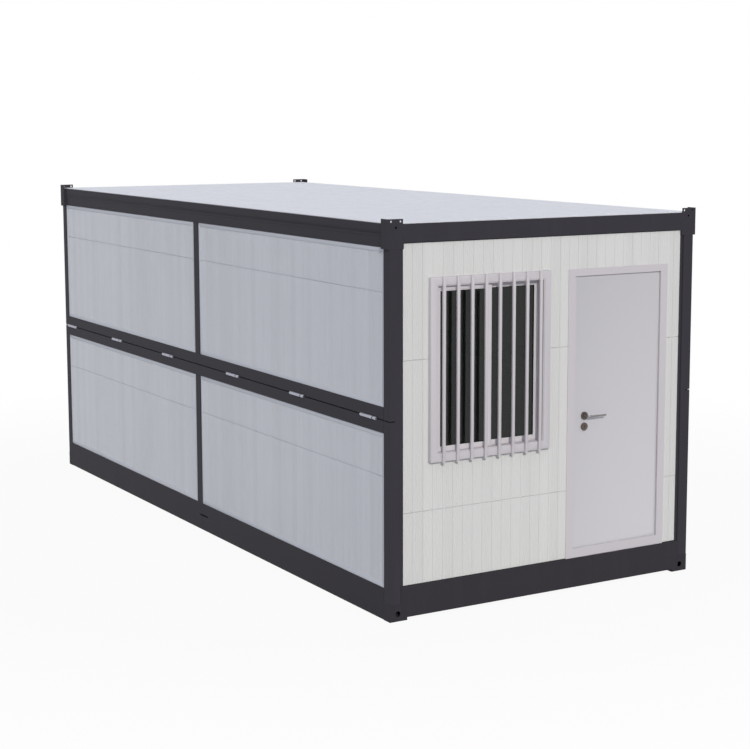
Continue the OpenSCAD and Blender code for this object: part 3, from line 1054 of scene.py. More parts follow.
@dataclass
class RibbedSheet:
    """A coated sheet with wide ribs, and fine lines pressed between them."""

    pitch: float = 0.077
    lines: int = 5
    cells: int = 6
    deep: float = 0.0044
    fine: float = 0.0021
    joint_half: float = 0.0030
    joint_deep: float = 0.0065
    flat_within: float = 0.5

    def build(
        self,
        name: str,
        low: Corner,
        high: Corner,
        margin: float,
        joints: Sequence[float],
        openings: Sequence[Opening],
        depth: float,
    ) -> bpy.types.Object:
        """Presses, cuts and thickens a sheet whose face is at Y = 0.

        Args:
            name: The piece's name.
            low: Its lowest X and Z.
            high: Its highest X and Z.
            margin: Plain edge before the first rib.
            joints: Heights of the level joints.
            openings: Openings, each as its lowest and highest X and Z.
            depth: Thickness of the whole panel.

        Returns:
            The panel.
        """
        sheet = self._one_rib(name, low[1], high[1])
        ribs = max(int((high[0] - low[0] - 2 * margin) / self.pitch), 1)
        first = (low[0] + high[0]) / 2 - ribs * self.pitch / 2
        before = math.ceil((first - low[0]) / self.pitch)
        repeat(sheet, ribs + 2 * before, (self.pitch, 0, 0), weld=True)
        place(sheet, 0, (first - before * self.pitch, 0, 0))
        cut_across(sheet, (high[0], 0, 0), (1, 0, 0), drop_beyond=True)
        cut_across(sheet, (low[0], 0, 0), (-1, 0, 0), drop_beyond=True)
        for joint in joints:
            self._press_joint(sheet, joint)
        for opening in openings:
            cut_opening(sheet, *opening)
        thicken(sheet, depth)
        with editing(sheet, Pick.FACES):
            bpy.ops.mesh.select_all(action="SELECT")
            bpy.ops.mesh.dissolve_limited(angle_limit=math.radians(self.flat_within))
        return sheet

    def _one_rib(self, name: str, z0: float, z1: float) -> bpy.types.Object:
        """Presses one rib's width of sheet, with its fine lines and one deep groove in its middle.

        Args:
            name: The piece's name.
            z0: Height of its lower edge.
            z1: Height of its upper edge.

        Returns:
            The strip, which repeats across the sheet.
        """
        strip = start_sheet(name, (0.0, z0), (self.pitch, z1), 0.0)
        cell = self.pitch / (self.lines * self.cells)
        for k in range(self.lines):
            middle = (k + 0.5) * self.cells * cell
            for shift in (-cell, 0.0, cell):
                cut_across(strip, (middle + shift, 0, 0), (1, 0, 0))
            depth = self.deep if k == self.lines // 2 else self.fine
            with editing(strip, Pick.VERTS):
                pick_where(strip, Pick.VERTS, lambda v, m=middle: abs(v.x - m) < cell / 4)
                bpy.ops.transform.translate(value=(0, depth, 0))
        return strip

    def _press_joint(self, sheet: bpy.types.Object, height: float) -> None:
        """Presses a level joint across the ribs.

        Args:
            sheet: The sheet, before it is thickened.
            height: The joint's height.
        """
        for shift in (-self.joint_half, 0.0, self.joint_half):
            cut_across(sheet, (0, 0, height + shift), (0, 0, 1))
        with editing(sheet, Pick.VERTS):
            pick_where(sheet, Pick.VERTS, lambda v: abs(v.z - height) < self.joint_half / 4)
            bpy.ops.transform.translate(value=(0, self.joint_deep, 0))


@dataclass
class SteelFrame:
    """Base, roof beams, corner fittings and the leaves' welded frames."""

    bead: float = 0.0022
    bead_sides: int = 8
    bead_sunk: float = 0.55
    bead_dome: float = 0.45
    bead_end: float = 0.004
    corner_xs: Corner = (1.154, 1.229)
    corner_run: float = 0.075
    lip_drop: float = 0.40
    lip_h: float = 0.005
    lip_t: float = 0.005
    lip_sunk: float = 0.001
    lip_short: float = 0.002
    lip_round: float = 0.0012
    base: tuple[str, ...] = (
        "base_beam_front",
        "base_beam_rear",
        "base_beam_left",
        "base_beam_right",
        "front_feet",
        "rear_feet",
    )
    nodes: tuple[str, ...] = (
        "floor_joists",
        "roof_beam_front",
        "roof_beam_rear",
        "roof_beam_left",
        "roof_beam_right",
        "front_top_fittings",
        "rear_top_fittings",
        "roof_purlins",
        "left_lower_frame",
        "left_upper_frame",
        "right_lower_frame",
        "right_upper_frame",
    )

    def dress(self) -> None:
        """Paints the steelwork and lays its weld beads."""
        # The base takes the darker copy of the frame paint, which is painted shade.
        for node in self.base:
            dress_node(node, Paintbox.SHADED_BASE_PAINT)
        for node in self.nodes:
            dress_node(node, Paintbox.ANTHRACITE)
        lips = [self._lip(side) for side in Side]
        hand_over(join("roof_beam_rolled_lips", lips), Paintbox.ANTHRACITE)
        beads = [self._bead(start, axis, length) for start, axis, length in self._runs()]
        hand_over(join("frame_weld_beads", beads), Paintbox.ANTHRACITE)

    def _lip(self, side: Side) -> bpy.types.Object:
        """Models the rolled lip along the outer face of one side roof beam.

        Args:
            side: The long side.

        Returns:
            The lip.
        """
        low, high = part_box(f"roof_beam_{side.name.lower()}")
        face = side.value * max(abs(low.x), abs(high.x))
        xs = sorted((face - side.value * self.lip_sunk, face + side.value * self.lip_t))
        z = high.z - self.lip_drop * (high.z - low.z)
        ys = (low.y + self.lip_short, high.y - self.lip_short)
        lip = start_block("lip", (xs[0], ys[0], z), (xs[1], ys[1], z + self.lip_h))
        return soften(lip, self.lip_round)

    def _bead(self, start: Point, axis: Axis, length: float) -> bpy.types.Object:
        """Models one weld bead: a half-sunk round with domed ends.

        Args:
            start: The middle of its first end.
            axis: The direction that it runs in.
            length: Its length.

        Returns:
            The bead.
        """
        bead = start_round("bead", start, axis, self.bead, length, self.bead_sides)
        return soften(bead, self.bead * self.bead_dome, segments=1, angle=50)

    def _runs(self) -> Iterator[tuple[Point, Axis, float]]:
        """Says where the beads run.

        Yields:
            A bead's start, direction and length.
        """
        foot_low, foot_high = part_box("front_feet")
        beam_low, beam_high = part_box("roof_beam_front")
        fitting_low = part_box("front_top_fittings")[0]
        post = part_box("right_lower_frame")[1].x
        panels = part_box("right_lower_panels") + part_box("right_upper_panels")
        front, inner = foot_low.y, foot_high.y
        sunk = self.bead * self.bead_sunk
        end = self.bead_end
        for side in Side:
            x = side.value * (post - sunk)
            start = min(side.value * corner for corner in self.corner_xs)
            for z in (foot_high.z, fitting_low.z):
                yield (start, front + sunk, z), Axis.X, self.corner_run
                for y in (front + end, -inner + end):
                    yield (x, y, z), Axis.Y, inner - front - 2 * end
            upright = beam_high.z - beam_low.z - 2 * end
            yield (side.value * beam_high.x, front + sunk, beam_low.z + end), Axis.Z, upright
            for corner in panels:
                yield (x, -STILE_HALF + end, corner.z), Axis.Y, 2 * STILE_HALF - 2 * end


@dataclass
class SidePanels:
    """The grooved panels of the long sides and the folded trim round each of them."""

    set_back: float = 0.0015
    trim_w: float = 0.028
    trim_sunk: float = 0.0005
    trim_round: float = 0.0006
    rib_gap: float = 0.010
    joint_drop: float = 0.284
    mitre_gap: float = 0.0004
    sheet: RibbedSheet = field(
        default_factory=lambda: RibbedSheet(
            cells=4, deep=0.0070, fine=0.0032, joint_half=0.0024, joint_deep=0.0048
        )
    )

    def build(self) -> None:
        """Models one panel and one trim a leaf, and sets copies of them in all four bays."""
        for leaf in Leaf:
            low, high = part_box(f"right_{leaf.value}_panels")
            length = high.y - STILE_HALF
            depth = high.x - low.x - self.set_back
            margin = self.trim_w + self.rib_gap
            joints = [high.z - self.joint_drop]
            panel = self.sheet.build(
                "bay_panel", (0.0, low.z), (length, high.z), margin, joints, [], depth
            )
            trim = self._trim(length, low.z, high.z)
            for side in Side:
                place_name = f"{side.name.lower()}_{leaf.value}"
                face = high.x - self.set_back
                # Panels and trims take the darker, bluer side coatings, which carry painted shade.
                for model, finish, name, stands_for in (
                    (panel, Paintbox.SHADED_SIDE_SKIN, "wall_panels", [f"{place_name}_panels"]),
                    (trim, Paintbox.SHADED_SIDE_TRIM, "panel_trims", []),
                ):
                    bays = [self._in_bay(model, side, end, length, face) for end in End]
                    whole = join(f"{place_name}_{name}", bays)
                    hand_over(whole, finish, replaces=stands_for)
            bpy.data.objects.remove(panel)
            bpy.data.objects.remove(trim)

    def _trim(self, length: float, z0: float, z1: float) -> bpy.types.Object:
        """Folds four strips round a panel, mitred at the corners.

        Args:
            length: The panel's length.
            z0: Height of its lower edge.
            z1: Height of its upper edge.

        Returns:
            The trim, with its back at Y = trim_sunk.
        """
        trim = start_sheet("bay_trim", (0.0, z0), (length, z1), self.trim_sunk)
        with editing(trim, Pick.FACES):
            bpy.ops.mesh.select_all(action="SELECT")
            bpy.ops.mesh.inset(thickness=self.trim_w)
            bpy.ops.mesh.delete(type="FACE")
        with editing(trim, Pick.EDGES):
            pick_where(trim, Pick.EDGES, lambda a, b: min(abs(a.x - b.x), abs(a.z - b.z)) > HAIR)
            bpy.ops.mesh.bevel(offset=self.mitre_gap, segments=1)
        with editing(trim, Pick.FACES):
            # The bevel leaves a sliver of a face at each mitre, which opens into the gap.
            mesh = bmesh.from_edit_mesh(trim.data)
            for face in mesh.faces:
                face.select_set(face.calc_area() < self.trim_w**2 / 2)
            bmesh.update_edit_mesh(trim.data)
            bpy.ops.mesh.delete(type="FACE")
        rise = {"value": (0, -self.set_back - self.trim_sunk, 0)}
        with editing(trim, Pick.FACES):
            bpy.ops.mesh.select_all(action="SELECT")
            bpy.ops.mesh.extrude_region_move(TRANSFORM_OT_translate=rise)
            bpy.ops.mesh.select_all(action="SELECT")
            bpy.ops.mesh.normals_make_consistent(inside=False)
        return soften(trim, self.trim_round)

    def _in_bay(
        self, model: bpy.types.Object, side: Side, end: End, length: float, face: float
    ) -> bpy.types.Object:
        """Sets a copy of a panel or trim in one bay of one side.

        Args:
            model: The panel or trim.
            side: The long side.
            end: The end that the bay is nearer to.
            length: The bay's length.
            face: How far the panel's face is from the middle of the cabin.

        Returns:
            The copy.
        """
        near = STILE_HALF if end is End.REAR else -STILE_HALF - length
        start = near if side is Side.RIGHT else near + length
        return place(copy_of(model), 90.0 * side.value, (side.value * face, start, 0.0))


@dataclass
class EndWalls:
    """Front and rear walls of grooved panel, with seals along their top and bottom."""

    joints: tuple[float, ...] = (0.697, 1.685)
    margin: float = 0.012
    window_lap: float = 0.034
    fitting_gap: float = 0.001
    seal: float = 0.004
    seal_proud: float = 0.6
    seal_round: float = 0.001
    sheet: RibbedSheet = field(default_factory=RibbedSheet)

    def build(self) -> None:
        """Models each wall piece in its own place."""
        low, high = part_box("window_frame")
        lap = self.window_lap
        window = ((low.x + lap, low.z + lap), (high.x - lap, high.z - lap))
        notches = {side: self._notch(side) for side in Side}
        for node, holes, end in (
            ("front_wall_window_side", [window, notches[Side.LEFT]], End.FRONT),
            ("front_wall_door_side", [notches[Side.RIGHT]], End.FRONT),
            ("front_wall_over_door", [], End.FRONT),
            ("rear_wall", list(notches.values()), End.REAR),
        ):
            self._wall(node, holes, end)
        self._seals()

    def _notch(self, side: Side) -> Opening:
        """Finds the corner that a wall leaves free for the top fitting of one side.

        Args:
            side: The long side.

        Returns:
            The corner's lowest and highest X and Z.
        """
        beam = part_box("roof_beam_front")[1]
        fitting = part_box("front_top_fittings")
        xs = sorted((side.value * (beam.x - self.fitting_gap), side.value * fitting[1].x))
        return (xs[0], fitting[0].z), (xs[1], fitting[1].z)

    def _wall(self, node: str, holes: Sequence[Opening], end: End) -> None:
        """Models one wall piece, which stands for its node.

        Args:
            node: The node's name.
            holes: Its openings and notches.
            end: The end that it closes.
        """
        low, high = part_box(node)
        joints = [z for z in self.joints if low.z < z < high.z]
        wall = self.sheet.build(
            node + "_panel", (low.x, low.z), (high.x, high.z), self.margin, joints, holes, high.y - low.y
        )
        if end is End.FRONT:
            place(wall, 0.0, (0.0, low.y, 0.0))
        else:
            place(wall, 180.0, (low.x + high.x, high.y, 0.0))
        hand_over(wall, Paintbox.END_SKIN, replaces=[node])

    def _seals(self) -> None:
        """Rubber strips between the walls and the beams."""
        low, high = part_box("front_wall_window_side")
        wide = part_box("roof_beam_front")[1].x - self.fitting_gap
        strips = []
        for end in End:
            for z0 in (low.z, high.z - self.seal):
                y = sorted((end.value * -low.y, end.value * (-low.y + self.seal * self.seal_proud)))
                strip = start_block("seal", (-wide, y[0], z0), (wide, y[1], z0 + self.seal))
                strips.append(soften(strip, self.seal_round))
        hand_over(join("end_wall_seals", strips), Paintbox.RUBBER)


@dataclass
class FoldHinges:
    """Weld-on barrel hinges along the fold, and the rubber that closes the fold."""

    radius: float = 0.0112
    barrel_round: float = 0.002
    pin: float = 0.006
    pin_lap: float = 0.004
    short: float = 0.034
    slot: float = 0.014
    long: float = 0.148
    washer_share: float = 0.86
    washer_t: float = 0.003
    washer_round: float = 0.0006
    groove_edge: float = 0.0015
    groove_deep: float = 0.002
    groove_round: float = 0.0004
    centres: tuple[float, ...] = (-2.635, -1.650, -0.628, 0.568, 1.648, 2.722)
    fold: float = 1.305

    def build(self) -> None:
        """Models one hinge and sets copies of it along both folds."""
        whole = self.short + self.slot + self.long
        barrels, washer = self._one()
        for side in Side:
            name = side.name.lower()
            low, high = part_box(f"{name}_fold_hinges")
            spots = [((low.x + high.x) / 2, centre - whole / 2, self.fold) for centre in self.centres]
            for model, piece, finish, stands_for in (
                (barrels, "barrels", Paintbox.ZINC, [f"{name}_fold_hinges"]),
                (washer, "washers", Paintbox.WASHER, []),
            ):
                row = [place(copy_of(model), 0.0, spot) for spot in spots]
                hand_over(join(f"{name}_fold_hinge_{piece}", row), finish, replaces=stands_for)
            self._seal(f"{name}_fold_seal")
        bpy.data.objects.remove(barrels)
        bpy.data.objects.remove(washer)

    def _one(self) -> tuple[bpy.types.Object, bpy.types.Object]:
        """Models one hinge at the origin, running along Y.

        Returns:
            Its barrels and pin, and its washer.
        """
        start = self.short + self.slot
        parts = []
        for name, y, run in (("short_barrel", 0, self.short), ("long_barrel", start, self.long)):
            barrel = start_round(name, (0, y, 0), Axis.Y, self.radius, run, sides=32)
            parts.append(soften(barrel, self.barrel_round, segments=3))
        pin_start, pin_run = self.short - self.pin_lap, self.slot + 2 * self.pin_lap
        parts.append(start_round("pin", (0, pin_start, 0), Axis.Y, self.pin, pin_run, sides=24))
        wide, thick = self.radius * self.washer_share, self.washer_t
        washer = start_round("washer", (0, start - thick, 0), Axis.Y, wide, thick, sides=24)
        return join("hinge", parts), soften(washer, self.washer_round)

    def _seal(self, node: str) -> None:
        """Models a rubber strip in the fold, with a groove along each of its edges.

        Args:
            node: The seal's node.
        """
        strip = start_block(node + "_strip", *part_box(node))
        with editing(strip, Pick.FACES):
            pick_where(strip, Pick.FACES, lambda c, n: abs(n.x) > FACING)
            bpy.ops.mesh.inset(thickness=self.groove_edge, depth=-self.groove_deep, use_individual=True)
        soften(strip, self.groove_round, segments=1)
        hand_over(strip, Paintbox.RUBBER, replaces=[node])


@dataclass
class WindowUnit:
    """Two sashes that slide in a mitred frame, with bars in front."""

    face_w: float = 0.058
    face_round: float = 0.005
    wall_lap: float = 0.034
    casing_lap: float = 0.020
    lip_w: float = 0.006
    lip_back: float = 0.005
    thin_round: float = 0.001
    sash_w: float = 0.036
    rail_round: float = 0.002
    bead_w: float = 0.008
    bead_back: float = 0.004
    bead_round: float = 0.0015
    pile_w: float = 0.002
    pile_lap: float = 0.001
    pile_back: float = 0.003
    pile_round: float = 0.0004
    rubber_w: float = 0.004
    rubber_lap: float = 0.001
    rubber_back: float = 0.002
    sealant_w: float = 0.003
    sealant_round: float = 0.0012
    bar_w: float = 0.020
    bar_count: int = 8
    bar_wall: float = 0.002
    bar_hollow: float = 0.004
    bar_round: float = 0.0018
    head_r: float = 0.0042
    head_t: float = 0.003
    head_proud: float = 0.0008
    head_round: float = 0.0006
    head_places: Corner = (0.034, 0.030)
    plate: Point = (0.011, 0.006, 0.060)
    plate_round: float = 0.002
    tongue_xs: Corner = (0.006, 0.030)
    tongue_ys: Corner = (0.005, 0.014)
    tongue_zs: Corner = (0.030, 0.004)
    tongue_round: float = 0.003

    def build(self) -> None:
        """Models the frame, the sashes, the panes, the seals and the bars."""
        low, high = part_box("window_frame")
        self._frame(low, high)
        for name in ("window_sash_left", "window_sash_right"):
            self._sash(name, low, high)
        dress_node("window_glass", Paintbox.GLASS)
        self._bars()
        self._catch()

    @staticmethod
    def _ring(
        name: str,
        low: Vector,
        high: Vector,
        inset: float,
        width: float,
        front: float,
        back: float,
        soft: float,
    ) -> bpy.types.Object:
        """Makes a mitred ring that lies a little inside two corners.

        Args:
            name: The ring's name.
            low: The lowest corner.
            high: The highest corner.
            inset: How far inside them the ring's outer edge lies.
            width: How wide each member looks from the front.
            front: Y of its front.
            back: Y of its back.
            soft: Rounding of its edges.

        Returns:
            The ring.
        """
        return picture_frame(
            name, (low.x + inset, low.z + inset), (high.x - inset, high.z - inset), width, front, back, soft
        )

    def _frame(self, low: Vector, high: Vector) -> None:
        """Models a box section outside, a lining through the wall, a casing inside and a sealant bead.

        Args:
            low: The frame's lowest corner.
            high: The frame's highest corner.
        """
        wall_out, wall_in = (corner.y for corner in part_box("front_wall_door_side"))
        lip_front, lining_front = low.y + self.lip_back, wall_out - LAP
        flat = self.face_w - self.lip_w
        lining, casing = self.face_w - self.wall_lap, self.face_w - self.casing_lap
        thin = self.thin_round
        rings = [
            self._ring("face", low, high, 0.0, flat, low.y, wall_out, self.face_round),
            self._ring("lip", low, high, flat - LAP, self.lip_w + LAP, lip_front, wall_out, thin),
            self._ring("lining", low, high, self.wall_lap, lining, lining_front, wall_in, thin),
            self._ring("casing", low, high, self.casing_lap, casing, wall_in, high.y, self.bead_round),
        ]
        whole = join("window_frame_profiles", rings)
        hand_over(whole, Paintbox.WINDOW_WHITE, replaces=["window_frame"])
        wide, ends = self.sealant_w, (lining_front, wall_out + LAP)
        bead = self._ring("window_sealant_bead", low, high, -wide, 2 * wide, *ends, self.sealant_round)
        hand_over(bead, Paintbox.SEALANT)

    def _sash(self, node: str, frame_low: Vector, frame_high: Vector) -> None:
        """Models a sash with its glazing bead, the rubber round its pane and the pile round its edge.

        Args:
            node: The sash's node.
            frame_low: The window frame's lowest corner.
            frame_high: The window frame's highest corner.
        """
        low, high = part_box(node)
        clear = self.face_w
        low = Vector((max(low.x, frame_low.x + clear), low.y, frame_low.z + clear))
        high = Vector((min(high.x, frame_high.x - clear), high.y, frame_high.z - clear))
        rail = self.sash_w - self.pile_w - self.bead_w
        inset = self.sash_w - self.bead_w - LAP
        front, back = low.y + self.bead_back, high.y - self.bead_back
        profile = [
            self._ring("rail", low, high, self.pile_w, rail, low.y, high.y, self.rail_round),
            self._ring("bead", low, high, inset, self.bead_w + LAP, front, back, self.bead_round),
        ]
        whole = join(node + "_profile", profile)
        # The sash takes the lighter copy of the profile white, which is painted light.
        hand_over(whole, Paintbox.LIT_SASH_WHITE, replaces=[node])
        ends = (low.y + self.pile_back, high.y - self.pile_back)
        wide = self.pile_w + self.pile_lap
        pile = self._ring(node + "_pile", low, high, 0.0, wide, *ends, self.pile_round)
        hand_over(pile, Paintbox.PILE)
        ends = (front + self.rubber_back, back - self.rubber_back)
        inset = self.sash_w - self.rubber_lap
        rubber = self._ring(node + "_rubber", low, high, inset, self.rubber_w, *ends, self.thin_round)
        hand_over(rubber, Paintbox.RUBBER)

    def _bars(self) -> None:
        """Models upright tubes with rounded edges, each held to the frame by a screw at both ends."""
        low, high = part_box("window_bars")
        first = low.x + self.bar_w / 2
        pitch = (high.x - low.x - self.bar_w) / (self.bar_count - 1)
        front = low.y + self.head_proud
        bar = start_block("bar", (low.x, front, low.z), (low.x + self.bar_w, high.y, high.z))
        with editing(bar, Pick.FACES):
            pick_where(bar, Pick.FACES, lambda c, n: abs(n.z) > FACING)
            bpy.ops.mesh.inset(thickness=self.bar_wall, depth=-self.bar_hollow, use_individual=True)
        soften(bar, self.bar_round)
        repeat(bar, self.bar_count, (pitch, 0, 0))
        bar.name = bar.data.name = "window_security_bars"
        hand_over(bar, Paintbox.WINDOW_WHITE, replaces=["window_bars"])
        screws = []
        for z in (low.z + self.head_places[0], high.z - self.head_places[1]):
            screw = start_round("screw", (first, low.y, z), Axis.Y, self.head_r, self.head_t, sides=16)
            screws.append(soften(screw, self.head_round))
        row = join("window_bar_screws", screws)
        repeat(row, self.bar_count, (pitch, 0, 0))
        hand_over(row, Paintbox.WINDOW_WHITE)

    def _catch(self) -> None:
        """Models the pull and the catch on the inner face of the inner sash's meeting stile."""
        low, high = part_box("window_sash_right")
        x, y, z = low.x + self.sash_w / 2, high.y, (low.z + high.z) / 2
        half, thick, tall = self.plate
        plate = start_block("plate", (x - half, y, z - tall), (x + half, y + thick, z + tall))
        tongue = start_block(
            "tongue",
            (x - self.tongue_xs[0], y + self.tongue_ys[0], z - self.tongue_zs[0]),
            (x + self.tongue_xs[1], y + self.tongue_ys[1], z + self.tongue_zs[1]),
        )
        parts = [soften(plate, self.plate_round), soften(tongue, self.tongue_round)]
        catch = join("window_catch", parts)
        hand_over(catch, Paintbox.WINDOW_WHITE)


@dataclass
class DoorUnit:
    """Door frame, leaf, seals, hinges and lever set."""

    edge_w: float = 0.028
    edge_slope: float = 0.0015
    edge_step: float = 0.0008
    edge_round: float = 0.0015
    lip_t: float = 0.010
    seal_in: float = 0.002
    seal_w: float = 0.008
    seal_t: float = 0.001
    seal_round: float = 0.0003
    rose_r: float = 0.027
    rose_t: float = 0.009
    rim_w: float = 0.006
    rim_slope: float = 0.0015
    rim_deep: float = 0.0012
    fine_round: float = 0.0005
    keyway: Point = (0.0016, 0.0008, 0.009)
    lock_drop: float = 0.075
    neck_r: float = 0.008
    neck_run: float = 0.020
    neck_round: float = 0.001
    grip_r: float = 0.0065
    grip_round: float = 0.0022
    grip_start: float = 0.020
    grip_flat: float = 0.90
    grip_taper: float = 0.85
    lever_out: float = 0.052
    lever_len: float = 0.142
    lever_bend: float = 0.016

    def build(self) -> None:
        """Models the leaf, its seal and the lever set."""
        dress_node("door_frame", Paintbox.WINDOW_WHITE)
        dress_node("door_frame_hinges", Paintbox.ZINC)
        dress_node("door_leaf_hinges", Paintbox.ZINC)
        self._leaf()
        self._seal()
        self._roses()
        self._levers()

    def _leaf(self) -> None:
        """Models the leaf: a folded edge all round, and a face set back a little inside it."""
        leaf = start_block("door_leaf_panel", *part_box("door_leaf"))
        with editing(leaf, Pick.FACES):
            pick_where(leaf, Pick.FACES, lambda c, n: abs(n.y) > FACING)
            bpy.ops.mesh.inset(thickness=self.edge_w, use_individual=True)
            bpy.ops.mesh.inset(thickness=self.edge_slope, depth=-self.edge_step, use_individual=True)
        soften(leaf, self.edge_round, angle=40)
        hand_over(leaf, Paintbox.DOOR_FACE, body="door", replaces=["door_leaf"])

    def _seal(self) -> None:
        """Models a thin seal on the back of the frame's lip, clear of the leaf."""
        low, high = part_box("door_leaf")
        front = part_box("door_frame")[0].y + self.lip_t
        gap = self.seal_in
        seal = picture_frame(
            "door_lip_seal",
            (low.x + gap, low.z + gap),
            (high.x - gap, high.z - gap),
            self.seal_w,
            front,
            front + self.seal_t,
            self.seal_round,
        )
        hand_over(seal, Paintbox.DOOR_SEAL)

    def _roses(self) -> None:
        """Models round roses with a turned rim, and on the lock roses a black block that paints the
        keyway's shade.
        """
        low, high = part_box("door_leaf")
        spot = self._spindle()
        lock_z = spot.z - self.lock_drop
        half, deep, tall = self.keyway
        roses, keyways = [], []
        for y0, out in ((low.y - self.rose_t, -1), (high.y, 1)):
            for z in (spot.z, lock_z):
                rose = start_round("rose", (spot.x, y0, z), Axis.Y, self.rose_r, self.rose_t, sides=48)
                with editing(rose, Pick.FACES):
                    pick_where(rose, Pick.FACES, lambda c, n, out=out: n.y * out > FACING)
                    bpy.ops.mesh.inset(thickness=self.rim_w)
                    bpy.ops.mesh.inset(thickness=self.rim_slope, depth=-self.rim_deep)
                roses.append(soften(rose, self.fine_round))
            face = y0 if out < 0 else y0 + self.rose_t
            # Each keyway is a thin black block half sunk in the rose's face: painted shade standing for the
            # slot.
            keyway = start_block(
                "keyway",
                (spot.x - half, face - deep, lock_z - tall),
                (spot.x + half, face + deep, lock_z + tall),
            )
            keyways.append(soften(keyway, self.fine_round, segments=1))
        whole = join("door_lever_roses", roses)
        hand_over(whole, Paintbox.ROSE, body="door", replaces=["door_rosettes"])
        hand_over(join("door_keyway_painted_shade", keyways), Paintbox.RUBBER, body="door")

    def _spindle(self) -> Vector:
        """The middle of the lever's spindle."""
        joint = next(j for j in frame["joints"] if j["name"] == "lever_turn")
        return Vector(joint["pos_m"])

    def _levers(self) -> None:
        """Models two bent levers on one spindle."""
        low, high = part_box("door_leaf")
        spot = self._spindle()
        start, run = (spot.x, low.y - LAP, spot.z), high.y - low.y + 2 * LAP
        spindle = start_round("spindle", start, Axis.Y, self.neck_r, run, sides=32)
        parts = [self._lever(spot, low.y, -1), self._lever(spot, high.y, 1), spindle]
        levers = join("door_lever_handles", parts)
        hand_over(levers, Paintbox.LEVER, body="handle", replaces=["door_handle"])

    def _lever(self, spot: Vector, face: float, out: int) -> bpy.types.Object:
        """Models one lever: a neck on the rose, a bend made by spinning, and a grip drawn out.

        Args:
            spot: The middle of the spindle.
            face: Y of the leaf's face.
            out: -1 for the outer lever and 1 for the inner one.

        Returns:
            The lever.
        """
        bend = self.lever_bend
        run = self.lever_out - bend
        tip = face + out * run
        middle = (spot.x + bend, tip + out * bend, spot.z)
        rest = self.lever_len - bend - self.grip_start + self.grip_r
        start = (spot.x, min(face, tip), spot.z)
        lever = start_round("lever", start, Axis.Y, self.grip_r, run, sides=24)
        with editing(lever, Pick.FACES):
            pick_where(lever, Pick.FACES, lambda c, n: abs(c.y - tip) < HAIR)
            bpy.ops.mesh.spin(
                steps=8, angle=math.radians(90) * out, center=(spot.x + bend, tip, spot.z), axis=(0, 0, 1)
            )
            bpy.ops.mesh.extrude_region_move(TRANSFORM_OT_translate={"value": (self.grip_start, 0, 0)})
            bpy.ops.transform.resize(value=(1, self.grip_flat, 1), center_override=middle)
            bpy.ops.mesh.extrude_region_move(TRANSFORM_OT_translate={"value": (rest, 0, 0)})
            narrow = (1, self.grip_taper, self.grip_taper)
            bpy.ops.transform.resize(value=narrow, center_override=middle)
            bpy.ops.mesh.select_all(action="SELECT")
            bpy.ops.mesh.remove_doubles(threshold=WELD_REACH)
            bpy.ops.mesh.normals_make_consistent(inside=False)
        neck_start = (spot.x, min(face, face + out * self.neck_run), spot.z)
        neck = start_round("neck", neck_start, Axis.Y, self.neck_r, self.neck_run, sides=32)
        soften(lever, self.grip_round, segments=3, angle=50)
        return join("lever", [lever, soften(neck, self.neck_round)])


@dataclass
class RoomLining:
    """Roof skin, ceiling and floor."""

    def dress(self) -> None:
        """Finishes the roof, the ceiling and the floor boards."""
        dress_node("roof_panel", Paintbox.ROOF)
        dress_node("ceiling", Paintbox.CEILING)
        dress_node("floor_deck", Paintbox.FLOOR)


# ---- Stage ----


